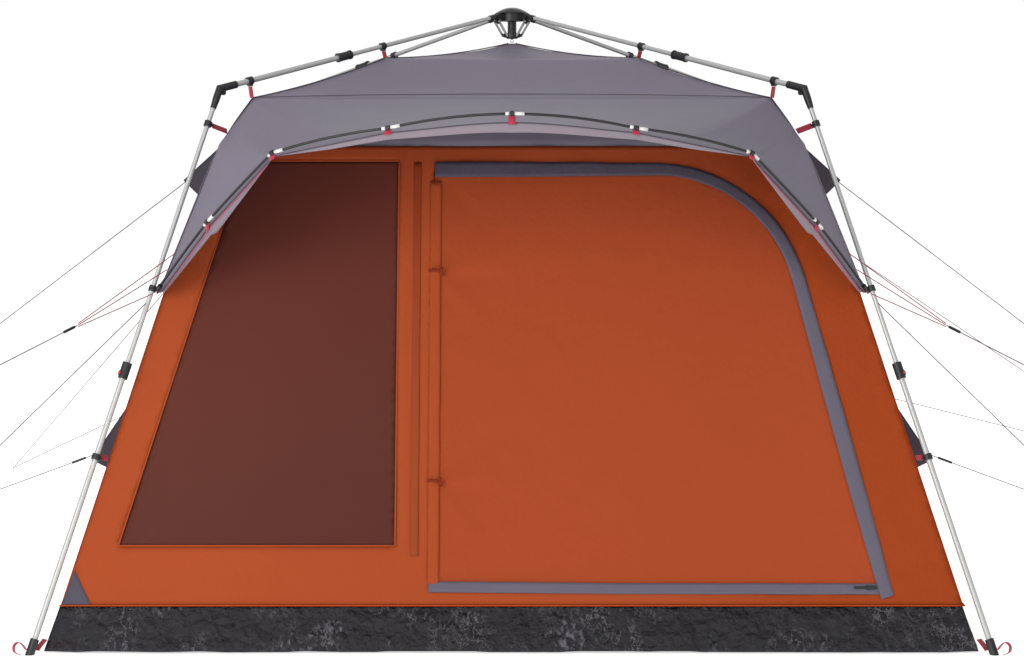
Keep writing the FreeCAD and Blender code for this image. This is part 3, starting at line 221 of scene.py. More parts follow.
def tarpaulin():
    """Glossy coated groundsheet, crumpled, with pale scuffs, painted glints along its creases and painted shade in
    the hollows of its crease bump.
    """
    n = Nodes("tub_sheet", 0.24, Specular_IOR_Level=0.35)
    cell = n.add("ShaderNodeTexVoronoi", {"Vector": n.where, "Scale": 22.0}, feature="DISTANCE_TO_EDGE")
    crease = n.noise(14.0, 6.0, rough=0.65)
    patchy = n.noise(5.0, 3.0)
    streak = n.noise(60.0, 4.0, stretch=(1.0, 1.0, 0.5), rough=0.7)
    # Painted highlights: thin pale lines, in patches, for glints on the crinkles.
    place = n.ramp(n.noise(6.5, 3.0), [(0.47, OFF), (0.62, ON)])
    ridge = n.ramp(n.noise(26.0, 5.0, stretch=(1.0, 1.0, 0.6), rough=0.7),
                   [(0.50, OFF), (0.52, ON), (0.54, OFF)])
    painted_glint = n.times(place, ridge)
    scuff = n.ramp(n.times(patchy, streak), [(0.33, OFF), (0.43, ON)])
    # Painted shade: the tone follows the crease bump, darker in its hollows.
    base = n.mix(crease, srgb(10, 8, 13), srgb(34, 31, 37))
    worn = n.mix(scuff, base, srgb(98, 96, 101))
    n.colour(n.mix(painted_glint, worn, srgb(112, 110, 115)))
    n.bump((cell.outputs["Distance"], 0.5, 0.02), (crease, 0.9, 0.03), (n.noise(300.0, 1.0), 0.1, 0.0005))
    return n.mat


def webbing(name, colour):
    n = Nodes(name, 0.7, Sheen_Weight=0.2)
    rib = n.wave(260.0, "Z")
    n.colour(n.mix(rib, shade(colour, 0.8), shade(colour, 1.15)))
    n.bump((rib, 0.5, 0.0008), (n.wave(260.0, "X"), 0.3, 0.0006))
    return n.mat


def cord_cloth(name, colour):
    n = Nodes(name, 0.75)
    twist = n.noise(500.0, 2.0)
    n.colour(n.mix(twist, shade(colour, 0.7), shade(colour, 1.3)))
    n.bump((twist, 0.4, 0.0006))
    return n.mat


def plastic(name, colour, rough=0.42):
    n = Nodes(name, rough, Specular_IOR_Level=0.5)
    speck = n.noise(260.0, 2.0)
    n.colour(n.mix(n.noise(6.0, 2.0), shade(colour, 0.85), shade(colour, 1.2)))
    n.bump((speck, 0.12, 0.0004))
    return n.mat


def metal(name, colour, rough, metallic=1.0):
    n = Nodes(name, rough, Metallic=metallic)
    lines = n.noise(120.0, 3.0, stretch=(0.3, 0.3, 12.0))
    n.colour(n.mix(lines, shade(colour, 0.92), shade(colour, 1.05)))
    n.bump((lines, 0.05, 0.0003))
    return n.mat


MESH_CLOTH, TUB = mesh_cloth(), tarpaulin()
RED_WEB = webbing("red_webbing", srgb(176, 28, 60))
CORD, RED_CORD = cord_cloth("cord_dark", srgb(84, 54, 58)), cord_cloth("cord_red", srgb(140, 44, 66))
BLACK = plastic("black_plastic", srgb(30, 31, 33))
FIBREGLASS = plastic("pole_black", srgb(26, 26, 30), 0.3)
RED_PLASTIC = plastic("red_plastic", srgb(196, 36, 50), 0.35)
ALUMINIUM = metal("aluminium_tube", srgb(196, 197, 195), 0.48, metallic=0.55)
STEEL = metal("polished_steel", srgb(205, 205, 205), 0.25)
PIPING = cord_cloth("piping", srgb(74, 68, 80))
PINK_PIPING = cord_cloth("pink_piping", srgb(176, 90, 115))
PALE = plastic("ferrule_pale", srgb(215, 215, 212), 0.4)


# ---- pieces ----
def make(name, verts, faces, material, smooth=True):
    data = bpy.data.meshes.new(name)
    data.from_pydata([tuple(v) for v in verts], [], faces)
    data.validate()
    data.update()
    if smooth:
        data.polygons.foreach_set("use_smooth", [True] * len(data.polygons))
    obj = bpy.data.objects.new(name, data)
    bpy.context.scene.collection.objects.link(obj)
    data.materials.append(material)
    return obj


def thick(obj, depth=CLOTH, offset=-1.0):
    mod = obj.modifiers.new("thickness", "SOLIDIFY")
    mod.thickness = depth
    mod.offset = offset
    return obj


def stand(obj, body, slot, nodes=()):
    """Puts a piece on a CAD body, in place of CAD nodes; the slot is not used."""
    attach(obj, body)
    if nodes:
        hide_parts(*nodes)
    return obj


def soft(obj, slot, replaces=()):
    """A fabric piece on the shell, with a mesh of its own."""
    stand(obj, SHELL, slot, replaces)
    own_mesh(obj)
    return obj


def grid_faces(rows, columns, closed=False, flip=False):
    faces = []
    last = columns if closed else columns - 1
    for i in range(rows - 1):
        for j in range(last):
            k = (j + 1) % columns
            face = (i * columns + j, i * columns + k, (i + 1) * columns + k, (i + 1) * columns + j)
            faces.append(face[::-1] if flip else face)
    return faces


def grid_places(rows, columns):
    """(v, t) over a grid's points: v from 0 to 1 over the rows, t from -1 to 1 over the columns."""
    return [(i / (rows - 1), 2 * j / (columns - 1) - 1) for i in range(rows) for j in range(columns)]


def inside(point, loop):
    x, y = point
    hit = False
    for (x0, y0), (x1, y1) in zip(loop, loop[1:] + loop[:1]):
        if (y0 > y) != (y1 > y) and x < x0 + (y - y0) / (y1 - y0) * (x1 - x0):
            hit = not hit
    return hit


def refine(loop, step):
    points = []
    for a, b in zip(loop, loop[1:] + loop[:1]):
        a, b = Vector(a), Vector(b)
        count = max(1, round((b - a).length / step))
        points += [tuple(a.lerp(b, i / count)) for i in range(count)]
    return points


def near_edge(point, loops, gap):
    p = Vector(point)
    return any(abs(q[0] - p.x) < gap and abs(q[1] - p.y) < gap for loop in loops for q in loop)


def cut_sheet(name, outline, holes, step, place, material):
    """Flat cut with openings, meshed evenly and put in space by place(u, v)."""
    loops = [refine(loop, step) for loop in [outline] + holes]
    points, edges = [], []
    for loop in loops:
        start = len(points)
        points += loop
        edges += [(start + i, start + (i + 1) % len(loop)) for i in range(len(loop))]
    us = [p[0] for p in loops[0]]
    vs = [p[1] for p in loops[0]]
    rows = int((max(vs) - min(vs)) / step / 0.87) + 1
    columns = int((max(us) - min(us)) / step) + 2
    for i in range(1, rows):
        for j in range(columns):
            point = (min(us) + (j + 0.5 * (i % 2)) * step, min(vs) + i * step * 0.87)
            if not inside(point, loops[0]) or any(inside(point, h) for h in loops[1:]):
                continue
            if not near_edge(point, loops, step * 0.55):
                points.append(point)
    verts, _, faces = geometry.delaunay_2d_cdt([Vector(p) for p in points], edges, [], 1, 1e-6)[:3]
    kept = []
    for face in faces:
        centre = sum((verts[i] for i in face), Vector((0, 0))) / len(face)
        if any(inside(centre, h) for h in loops[1:]):
            continue
        kept.append(tuple(face))
    used = sorted({i for face in kept for i in face})
    index = {old: new for new, old in enumerate(used)}
    return make(name, [place(*verts[i]) for i in used], [tuple(index[i] for i in f) for f in kept], material)


def front_depth(z):
    return TUB_HALF - LEAN * (z - TUB_Z)


def side_half(z):
    if z <= BEND_Z:
        return TUB_HALF + (BEND_HALF - TUB_HALF) * (z - TUB_Z) / (BEND_Z - TUB_Z)
    return BEND_HALF + (TOP_HALF - BEND_HALF) * (z - BEND_Z) / (TOP_Z - BEND_Z)


def on_front(x, z, out=0.0):
    return Vector((x, -front_depth(z), z)) + FRONT_OUT * out


def ripple(u, v, size, seed, stretch=(1.0, 1.0)):
    """Soft random undulation between -1 and 1, larger folds with smaller ones on them."""
    p = Vector((u * stretch[0] / size, v * stretch[1] / size, seed))
    return noise.noise(p) + 0.5 * noise.noise(p * 2.3)


def pulls(u, v, corners, reach, count):
    """Creases that fan out from each point the cloth is pulled at."""
    total = 0.0
    for i, (cu, cv) in enumerate(corners):
        d = math.hypot(u - cu, v - cv)
        if d < 3 * reach:
            angle = math.atan2(v - cv, u - cu)
            wave = math.sin(count * angle + i) + 0.5 * math.sin(2.3 * count * angle + i)
            total += wave * (d / reach) * math.exp(1 - d / reach) * 0.6
    return total


def edge_fade(distance, reach=0.05):
    return min(1.0, max(0.0, distance / reach))


# ---- camera, light, floor ----
CAMERA_PLACE, CAMERA_TILT, CAMERA_LENS = (0, -9.78, 1.64), 85.8, 90.42
AMBIENT = 0.55
# name, place, size, watts
LIGHTS = (("key", (-4.5, -8.5, 3.6), 4.0, 330.0), ("fill", (4.5, -9.0, 2.0), 4.5, 50.0),
          ("top", (-1.0, -2.0, 8.0), 5.0, 60.0), ("back", (0.0, 8.0, 5.0), 5.0, 120.0))
LIGHTS_AIM = Vector((0, 0, 0.9))
FLOOR_REACH, FLOOR_Z = 30, -0.002


def make_stage():
    camera = bpy.data.objects.new("camera", bpy.data.cameras.new("camera"))
    camera.data.lens = CAMERA_LENS
    camera.data.sensor_width = 36.0
    camera.data.clip_end = 100.0
    camera.location = CAMERA_PLACE
    camera.rotation_euler = (math.radians(CAMERA_TILT), 0, 0)
    bpy.context.scene.collection.objects.link(camera)
    bpy.context.scene.camera = camera
    bpy.context.scene.view_settings.view_transform = "Standard"
    world = bpy.data.worlds.new("studio")
    bpy.context.scene.world = world
    world.use_nodes = True
    tree = world.node_tree
    back = tree.nodes["Background"]
    back.inputs["Color"].default_value = (1, 1, 1, 1)
    seen = tree.nodes.new("ShaderNodeMapRange")
    seen.inputs["To Min"].default_value = AMBIENT
    tree.links.new(tree.nodes.new("ShaderNodeLightPath").outputs["Is Camera Ray"], seen.inputs["Value"])
    tree.links.new(seen.outputs["Result"], back.inputs["Strength"])
    for name, place, size, power in LIGHTS:
        light = bpy.data.objects.new(name, bpy.data.lights.new(name, "AREA"))
        light.data.size = size
        light.data.energy = power
        light.location = place
        light.rotation_euler = (LIGHTS_AIM - Vector(place)).to_track_quat("-Z", "Y").to_euler()
        bpy.context.scene.collection.objects.link(light)
    n = Nodes("floor_white", 0.9)
    n.set("Base Color", (0.95, 0.95, 0.95, 1))
    n.set("Emission Color", (1, 1, 1, 1))
    n.set("Emission Strength", 0.6)
    corners = [(a * FLOOR_REACH, b * FLOOR_REACH, FLOOR_Z) for a, b in SQUARE]
    floor = make("floor", corners, [(0, 1, 2, 3)], n.mat, smooth=False)


# ---- guy lines ----
def centreline(name, points):
    """Points along one smooth spline through the route, as Blender draws it."""
    curve = bpy.data.curves.new(name, "CURVE")
    curve.dimensions = "3D"
    curve.resolution_u = 12
    spline = curve.splines.new("NURBS")
    spline.points.add(len(points) - 1)
    for p, place in zip(spline.points, points):
        p.co = (*place, 1.0)
    spline.order_u = 3
    spline.use_endpoint_u = True
    obj = bpy.data.objects.new(name, curve)
    bpy.context.scene.collection.objects.link(obj)
    bpy.context.view_layer.update()
    data = bpy.data.meshes.new_from_object(obj)
    path = [v.co.copy() for v in data.vertices]
    bpy.data.objects.remove(obj)
    return path


def runs(path):
    """Direction along the path at each of its points."""
    last = len(path) - 1
    return [(path[min(i + 1, last)] - path[max(i - 1, 0)]).normalized() for i in range(last + 1)]


def fine(points, count):
    """Points on straight lines between the given ones, count to each line."""
    return [a.lerp(b, k / count) for a, b in zip(points, points[1:]) for k in range(count)]


def tube(name, path, radius, material, sides=10):
    """Round tube along a path, closed at both ends."""
    verts = []
    up = Vector((0, 0, 1))
    side = None
    for p, run in zip(path, runs(path)):
        if side is None:
            side = run.cross(up if abs(run.z) < 0.9 else Vector((1, 0, 0))).normalized()
        side = (side - run * side.dot(run)).normalized()
        other = run.cross(side)
        for k in range(sides):
            a = 2 * math.pi * k / sides
            verts.append(p + side * (math.cos(a) * radius) + other * (math.sin(a) * radius))
    faces = grid_faces(len(path), sides, closed=True)
    faces.append(tuple(range(sides))[::-1])
    faces.append(tuple(range(len(verts) - sides, len(verts))))
    return make(name, verts, faces, material)


def ball(name, centre, radius, material):
    rings, sides = 9, 14
    verts = []
    for i in range(rings):
        polar = math.pi * (i + 0.02) / (rings - 0.96)
        for k in range(sides):
            a = 2 * math.pi * k / sides
            verts.append(centre + Vector((math.sin(polar) * math.cos(a), math.sin(polar) * math.sin(a),
                                          -math.cos(polar))) * radius)
    faces = grid_faces(rings, sides, closed=True)
    faces += [tuple(range(sides))[::-1], tuple(range((rings - 1) * sides, rings * sides))]
    return make(name, verts, faces, material)


CORD_THICK, KNOT_RADIUS = 0.003, 0.0048
BRIDLES = [(1.106, -1.325, 1.290), (1.142, -1.275, 1.232), (1.196, -1.240, 1.150)]
BRIDLE_JOIN, AWNING_END = Vector((1.357, -1.750, 1.082)), Vector((1.549, -2.150, 0.978))
SIDE_GUYS = (("upper", (1.225, 0, 1.515), (1.985, 0, 0.940)), ("lower", (1.579, 0, 0.470), (1.992, 0, 0.318)))
FRONT_GUY = ((1.219, -1.234, 1.118), (1.603, -1.900, 0.696))
# two lines on each rear leg: heights on the leg, how far the cord starts from its middle, where it ends
REAR_HEIGHTS = {"left": (1.435, 0.623), "right": (1.386, 0.617)}
REAR_OFF_TUBE = (0.016, 0.020)
REAR_RIGHT_ENDS = [(2.477, 2.426, 0.544), (2.483, 2.434, 0.274)]
REAR_LEFT_ENDS = [(-2.529, 3.222, 0.016), (-2.538, 3.231, 0.007)]


def guy(name, start, end, nodes, material, far="knot"):
    points = [Vector(start).lerp(Vector(end), t) for t in (0.0, 0.3, 0.7, 1.0)]
    path = centreline(name + "_route", points)
    line = soft(tube(name, path, CORD_THICK / 2, material), "guy_cord", nodes)
    if far == "knot":
        soft(ball(name + "_knot", Vector(end), KNOT_RADIUS, material), "guy_cord")
    [tuple(p) for p in path]


def leg_point(z):
    """Point on the rear right leg's centre line at height z."""
    reach = (ELBOW[0] + (ELBOW[1] - z) * LEG_SLOPE) / ROOT2
    return Vector((reach, reach, z))


def make_guys():
    for side, sign in SIDES:
        def put(p):
            return Vector((p[0] * sign, p[1], p[2]))
        for name, start, end in SIDE_GUYS:
            guy(f"guy_line_{name}_{side}", put(start), put(end), [f"guy_{name}_{side}"], CORD)
        step = (AWNING_END - BRIDLE_JOIN).normalized() * 0.006
        guy(f"guy_line_awning_{side}", put(BRIDLE_JOIN + step), put(AWNING_END), [f"guy_awning_{side}"], CORD)
        for i, start in enumerate(BRIDLES):
            end = BRIDLE_JOIN + Vector((0, 0, 0.005 * (1 - i)))
            guy(f"guy_bridle_{side}_{i}", put(start), put(end), [], RED_CORD, far="object")
        guy(f"guy_line_front_{side}", put(FRONT_GUY[0]), put(FRONT_GUY[1]), [f"guy_front_{side}"], CORD)
    for i, off_tube in enumerate(REAR_OFF_TUBE):
        for side, sign, ends, far in (("left", -1, REAR_LEFT_ENDS, "object"), ("right", 1, REAR_RIGHT_ENDS, "knot")):
            start, end = leg_point(REAR_HEIGHTS[side][i]), Vector(ends[i])
            start.x *= sign
            guy(f"guy_line_rear_{side}_{i}", start + (end - start).normalized() * off_tube, end,
                [f"guy_rear_{side}"] if i == 0 else [], CORD, far=far)


# ---- groundsheet ----
def square_point(half, s):
    """Point on a square's outline, s from 0 to 4 starting at the front left corner and going right."""
    side = int(s) % 4
    t = (s - int(s)) * 2 - 1
    return [(t * half, -half), (half, t * half), (-t * half, half), (-half, -t * half)][side]


def make_groundsheet():
    """Tub walls that lean in and bulge a little at the bottom, their top seam, and the floor."""
    per_side, rows = 210, 13
    columns = 4 * per_side
    verts = []
    for i in range(rows):
        v = i / (rows - 1)
        z = 0.003 + (TUB_Z - 0.003) * v
        half = FLOOR_HALF + (TUB_HALF - FLOOR_HALF) * (z / TUB_Z)
        for j in range(columns):
            s = 4 * j / columns
            x, y = square_point(half, s)
            out = Vector(((0, -1, 0), (1, 0, 0), (0, 1, 0), (-1, 0, 0))[int(s)])
            corner = edge_fade(min(s % 1, 1 - s % 1) * 3.0, 0.12)
            deep = ripple(s * 3.0, z * 1.6, 0.11, 3.0) * 0.007 + ripple(s * 3.0, z, 0.035, 9.0) * 0.0035
            belly = math.sin(math.pi * min(1.0, v * 1.1)) * 0.010
            low = max(0.0, ripple(s * 3.0, 0, 0.28, 5.0)) * 0.010 * (1 - v)
            flare = 0.024 * (1 - v) ** 2 * (0.75 + 0.5 * noise.noise(Vector((s * 4.0, 0, 3.0))))
            move = (deep * math.sin(math.pi * (0.12 + 0.8 * v)) + belly * 0.4 + flare) * corner
            verts.append(Vector((x, y, z + low)) + out * (move - 0.006))
    obj = make("tub_cloth", verts, grid_faces(rows, columns, closed=True), TUB)
    soft(thick(obj, TARPAULIN), "groundsheet_pe", ["tub_walls"])
    half = TUB_HALF + 0.0015
    line = [Vector((a * half, b * half, TUB_Z)) for a, b in SQUARE + SQUARE[:1]]
    soft(tube("tub_seam", fine(line, 60), 0.0028, SIDE_WALL, sides=8), "wall_orange")
    half = FLOOR_HALF - 0.008
    count = 60
    verts = []
    for v, t in grid_places(count, count):
        x, y = half * t, half * (2 * v - 1)
        verts.append((x, y, 0.0030 + 0.0020 * (1 + ripple(x, y, 0.25, 1.0)) * edge_fade(half - max(abs(x), abs(y)))))
    floor = thick(make("tub_floor", verts, grid_faces(count, count), TUB), TARPAULIN)
    stand(floor, SHELL, "groundsheet_pe", ["groundsheet"])


# ---- walls ----
def door_outline(grow=0.0, steps=14):
    lean = math.atan(DOOR_LEAN)
    turn = math.pi / 2 - lean
    corner = DOOR_RIGHT_BOTTOM - DOOR_LEAN * (DOOR_TOP - DOOR_BOTTOM)
    cx, cz = corner - DOOR_ROUND * math.tan(turn / 2), DOOR_TOP - DOOR_ROUND
    left, top = DOOR_LEFT - grow, DOOR_TOP + grow
    bottom = DOOR_BOTTOM - grow
    right = DOOR_RIGHT_BOTTOM - DOOR_LEAN * (bottom - DOOR_BOTTOM) + grow * math.hypot(1, DOOR_LEAN)
    loop = [(left, bottom), (left, top)]
    for i in range(steps + 1):
        a = math.pi / 2 - turn * i / steps
        loop.append((cx + (DOOR_ROUND + grow) * math.cos(a), cz + (DOOR_ROUND + grow) * math.sin(a)))
    loop.append((right, bottom))
    return loop


WALL_PULLS = [(-1.10, 1.40), (1.10, 1.40), (-0.9, 1.64), (0.9, 1.64), (-1.4, 0.2), (1.4, 0.2)]
MIDDLE_FOLDS = ((-0.359, 0.014), (-0.284, 0.012))      # x and width of the raised folds in the middle band


def front_wall_place(x, z):
    edge = min(side_half(z) - 0.002 - abs(x), z - TUB_Z)
    fade = edge_fade(edge, 0.06)
    move = ripple(x, z, 0.35, 2.0, (1.0, 0.45)) * 0.004
    move += pulls(x, z, WALL_PULLS, 0.13, 7) * 0.0022
    for middle, width in MIDDLE_FOLDS:
        sway = 0.003 * math.sin(z * 6 + middle * 40)
        move += 0.0045 * math.exp(-((x - middle - sway) / width) ** 2) * edge_fade(z - 0.25, 0.15)
    if x > 0.4:
        move += math.sin(x * 26 + z * 5) * 0.0022 * edge_fade(x - 0.4, 0.3)
    return on_front(x, z, move * fade - 0.002)


def ribbon(name, points, width, out, material, wave=0.0, seed=0.0, depth=0.0010, pitch=9.0):
    """Flat strip on the front wall along (x, z) points, a little wavy."""
    sections = 5
    path = []
    for a, b in zip(points, points[1:]):
        a, b = Vector(a), Vector(b)
        count = max(1, round((b - a).length / 0.02))
        path += [a.lerp(b, i / count) for i in range(count)]
    path.append(Vector(points[-1]))
    verts = []
    run_length = 0.0
    for i, (p, run) in enumerate(zip(path, runs(path))):
        side = Vector((-run.y, run.x))
        if i:
            run_length += (p - path[i - 1]).length
        w = width(i / (len(path) - 1)) if callable(width) else width
        for k in range(sections):
            t = k / (sections - 1) - 0.5
            shift = wave * 0.25 * noise.noise(Vector((run_length * 7, 0, seed)))
            q = p + side * (t * w + shift)
            lift = wave * (noise.noise(Vector((run_length * pitch, t * 1.5, seed))) + 0.8) * 0.5
            verts.append(on_front(q.x, q.y, out + lift + 0.002 * (0.25 - t * t)))
    obj = make(name, verts, grid_faces(len(path), sections), material)
    return thick(obj, depth, 0.0)


WALL_GRID = (64, 110)      # rows and columns of a wall without openings


def plain_wall(half_at, out_at, inset, seed, size, still_z):
    """Points (across, out, z) of a wall without openings, softly rippled but still at its edges and near still_z."""
    points = []
    for v, t in grid_places(*WALL_GRID):
        z = TUB_Z + 0.001 + (TOP_Z - TUB_Z - 0.001) * v
        across = (half_at(z) - inset) * t
        fade = edge_fade(min(half_at(z) - abs(across), z - TUB_Z, still_z - z), 0.1)
        points.append((across, out_at(z) - 0.003 + ripple(across, z, 0.3, seed, (1.0, 0.5)) * size * fade, z))
    return points


CORNER_PATCH = [(-side_half(0.147) + 0.006, 0.147), (-1.374, 0.147), (-side_half(0.255) + 0.010, 0.255)]
PLEAT_LINE = [(-0.321, 0.300), (-0.320, 1.585)]


def make_walls():
    zs = [TUB_Z + 0.001, BEND_Z, TOP_Z]
    outline = [(side_half(z) - 0.002, z) for z in zs] + [(-side_half(z) + 0.002, z) for z in reversed(zs)]
    wall = cut_sheet("front_wall", outline, [WINDOW, door_outline(DOOR_GAP)], 0.021, front_wall_place, WALL)
    thick(wall)
    soft(wall, "wall_orange", ["wall_front"])

    def window_place(x, z):
        return on_front(x, z, -0.004 + ripple(x, z, 0.4, 7.0, (1.0, 0.5)) * 0.004 *
                        edge_fade(min(WINDOW[2][0] - x, z - WINDOW[0][1], WINDOW[2][1] - z), 0.1))
    window = thick(cut_sheet("window_net", WINDOW, [], 0.022, window_place, MESH_CLOTH), 0.0006)
    soft(window, "window_mesh", ["mesh_window"])
    loop = WINDOW + WINDOW[:1]
    for i, (a, b) in enumerate(zip(loop, loop[1:])):
        soft(ribbon(f"window_binding_{i}", [a, b], 0.005, 0.0002, WALL, depth=0.0012), "wall_orange")
    pleat = ribbon("middle_pleat", PLEAT_LINE, 0.026, 0.0001, PLEAT, 0.0012, 4.0, depth=0.0006)
    soft(pleat, "wall_orange")
    patch = cut_sheet("corner_patch", CORNER_PATCH, [], 0.012, lambda x, z: on_front(x, z, 0.0012), PATCH)
    soft(thick(patch), "fly_fabric")

    side = plain_wall(front_depth, side_half, 0.0, 4.0, 0.0030, TOP_Z)
    for name, sign in SIDES:
        obj = make(f"side_wall_{name}", [(out * sign, y, z) for y, out, z in side],
                   grid_faces(*WALL_GRID, flip=sign < 0), SIDE_WALL)
        soft(thick(obj), "wall_side", [f"wall_{name}"])
    back = plain_wall(side_half, front_depth, 0.004, 14.0, 0.0024, TOP_Z + 1)
    obj = make("back_wall", back, grid_faces(*WALL_GRID, flip=True), SIDE_WALL)
    soft(thick(obj), "wall_side", ["wall_back"])


DOOR_PULLS = [(DOOR_LEFT, 1.219), (DOOR_LEFT, 0.536), (DOOR_LEFT, 0.2), (1.2, 0.2), (DOOR_LEFT, 1.56)]


def make_door():
    def place(x, z):
        edge = min(x - DOOR_LEFT, z - DOOR_BOTTOM, DOOR_TOP - z)
        fade = edge_fade(edge, 0.05)
        move = ripple(x, z, 0.5, 6.0, (1.0, 0.6)) * 0.0035
        move += pulls(x, z, DOOR_PULLS, 0.08, 6) * 0.003
        move += math.sin(z * 4.0 + 1.0) * 0.0015 * math.exp(-(x - DOOR_LEFT) / 0.15)
        return on_front(x, z, move * fade - 0.0012)
    door = thick(cut_sheet("door_sheet", door_outline(), [], 0.021, place, DOOR))
    stand(door, "door", "door_fabric", ["door_panel"])
    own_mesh(door)

    edge = door_outline(steps=24)
    end = edge[-1]
    path = edge[1:] + [(end[0] + DOOR_LEAN * 0.028 + 0.003, end[1] - 0.030)]

    def width(t):
        return 0.052 - 0.012 * math.exp(-((t - 0.42) / 0.22) ** 2) - 0.008 * max(0, t - 0.85) / 0.15
    soft(ribbon("zip_cover_arch", path, width, 0.0035, ZIP, wave=0.004, seed=2.0), "zip_tape", ["zip_cover"])
    low = [(DOOR_LEFT - 0.012, 0.203), (0.4, 0.197), (1.208, 0.196)]
    soft(ribbon("zip_cover_sill", low, 0.034, 0.0025, ZIP, wave=0.003, seed=8.0), "zip_tape")
    left_edge = [(DOOR_LEFT + 0.004, DOOR_TOP - 0.040), (DOOR_LEFT + 0.004, DOOR_BOTTOM + 0.012)]
    soft(ribbon("door_edge_binding", left_edge, 0.036, 0.0022, WALL, 0.004, 5.0, pitch=40.0), "wall_orange")


# ---- fly, awning, vents ----
def roof_height(half):
    """Height of the roof's corner ridges, hanging a little between the points that hold it up."""
    spans = [((0.0, PEAK_Z), (RIDGE_HALF, RIDGE_Z), 0.014), ((RIDGE_HALF, RIDGE_Z), (EAVE_HALF, EAVE_Z), 0.012)]
    for (r0, z0), (r1, z1), sag in spans:
        if half <= r1 + 1e-9:
            t = (half - r0) / (r1 - r0)
            return z0 + (z1 - z0) * t - 4 * sag * t * (1 - t)
    return EAVE_Z


def piping(name, path, radius, material=PIPING):
    """Thin round trim on the fly or the awning."""
    soft(tube(name, path, radius, material, sides=6), "fly_fabric")


ROOF_PULLS = [(a * RIDGE_HALF, b * RIDGE_HALF) for a in (-1, 1) for b in (-1, 1)]


def make_fly():
    per_side, rings = 48, 40
    columns = 4 * per_side
    verts = []
    for i in range(rings):
        half = EAVE_HALF * (i + 0.35) / (rings - 0.65)
        for j in range(columns):
            s = 4 * j / columns
            x, y = square_point(half, s)
            t = (s % 1) * 2 - 1
            sag = 0.010 * (1 - t * t) * (half / EAVE_HALF) * edge_fade(EAVE_HALF - half, 0.25)
            fold = ripple(x, y, 0.22, 11.0) * 0.003 * edge_fade(EAVE_HALF - half, 0.1)
            fold += pulls(x, y, ROOF_PULLS, 0.12, 5) * 0.0025
            verts.append((x, y, roof_height(half) - sag + fold - 0.001))
    faces = grid_faces(rings, columns, closed=True, flip=True) + [tuple(range(columns))]
    roof = thick(make("fly_top", verts, faces, FLY))
    soft(roof, "fly_fabric", ["fly_roof"])
    for i in range(4):
        x, y = square_point(1.0, i)
        halves = [EAVE_HALF * (k + 0.4) / 24.4 for k in range(25)]
        path = [Vector((x * half, y * half, roof_height(half) + 0.0006)) for half in halves]
        piping(f"fly_ridge_seam_{i}", path, 0.0022)

    rows = 44
    verts = []
    for i in range(rows):
        v = i / (rows - 1)
        z = EAVE_Z - 0.001 + (HEM_Z - EAVE_Z) * v
        if z > SHOULDER_Z:
            half = EAVE_HALF + (SHOULDER_HALF - EAVE_HALF) * (EAVE_Z - z) / (EAVE_Z - SHOULDER_Z)
        else:
            half = SHOULDER_HALF + (HEM_HALF - SHOULDER_HALF) * (SHOULDER_Z - z) / (SHOULDER_Z - HEM_Z)
        half -= 0.008 * math.exp(-((z - SHOULDER_Z) / 0.05) ** 2)
        for k in range(3 * per_side + 1):
            s = 4 - k / per_side
            x, y = square_point(half, s - 1e-9) if k % per_side == 0 and k else square_point(half, min(s, 3.999999))
            t = (s % 1) * 2 - 1 if k % per_side else 1.0
            belly = 0.006 * (1 - t * t) * math.sin(math.pi * v)
            fold = ripple(s * 1.8, z, 0.2, 21.0, (1.0, 0.6)) * 0.003 * (1 - t * t)
            direction = Vector((x, y, 0)).normalized()
            verts.append(Vector((x, y, z)) - direction * (belly + fold * 0.5 + 0.001))
    skirt = thick(make("fly_skirt_cloth", verts, grid_faces(rows, 3 * per_side + 1, flip=True), FLY))
    soft(skirt, "fly_fabric", ["fly_skirt"])
    for name, half, z in (("hem", HEM_HALF, HEM_Z + 0.002), ("shoulder", SHOULDER_HALF - 0.006, SHOULDER_Z)):
        path = [Vector((a * half, b * half, z)) for a, b in ((-1, -1), (-1, 1), (1, 1), (1, -1))]
        piping(f"fly_seam_{name}", fine(path, 30) + path[-1:], 0.0022)

    def front_place(x, z):
        t = (z - TOP_Z) / (EAVE_Z - TOP_Z)
        depth = front_depth(TOP_Z) + (EAVE_HALF - front_depth(TOP_Z)) * t
        return Vector((x, -depth + 0.006 + 0.004 * ripple(x, z, 0.2, 31.0), z))
    outline = [(-0.975, TOP_Z), (0.975, TOP_Z), (0.885, EAVE_Z - 0.004), (-0.885, EAVE_Z - 0.004)]
    front = thick(cut_sheet("fly_front_cloth", outline, [], 0.03, front_place, FLY))
    soft(front, "fly_fabric")


def smooth_points(knots, u, sharp=()):
    """Point on a smooth line through knots [(u, point)], with corners kept at the knots listed in sharp."""
    for i in range(len(knots) - 1):
        (u0, p0), (u1, p1) = knots[i], knots[i + 1]
        if u <= u1 or i == len(knots) - 2:
            break
    span = u1 - u0
    t = (u - u0) / span

    def slope(k):
        if k in (0, len(knots) - 1) or k in sharp:
            return (p1 - p0) / span
        (ua, pa), (ub, pb) = knots[k - 1], knots[k + 1]
        return (pb - pa) / (ub - ua)
    m0, m1 = slope(i), slope(i + 1)
    h00, h10 = 2 * t ** 3 - 3 * t ** 2 + 1, t ** 3 - 2 * t ** 2 + t
    h01, h11 = -2 * t ** 3 + 3 * t ** 2, t ** 3 - t ** 2
    return p0 * h00 + m0 * (h10 * span) + p1 * h01 + m1 * (h11 * span)


def mirrored_knots(knots):
    left = [(-u, Vector((-p.x, p.y, p.z))) for u, p in reversed(knots[1:])]
    return left + knots


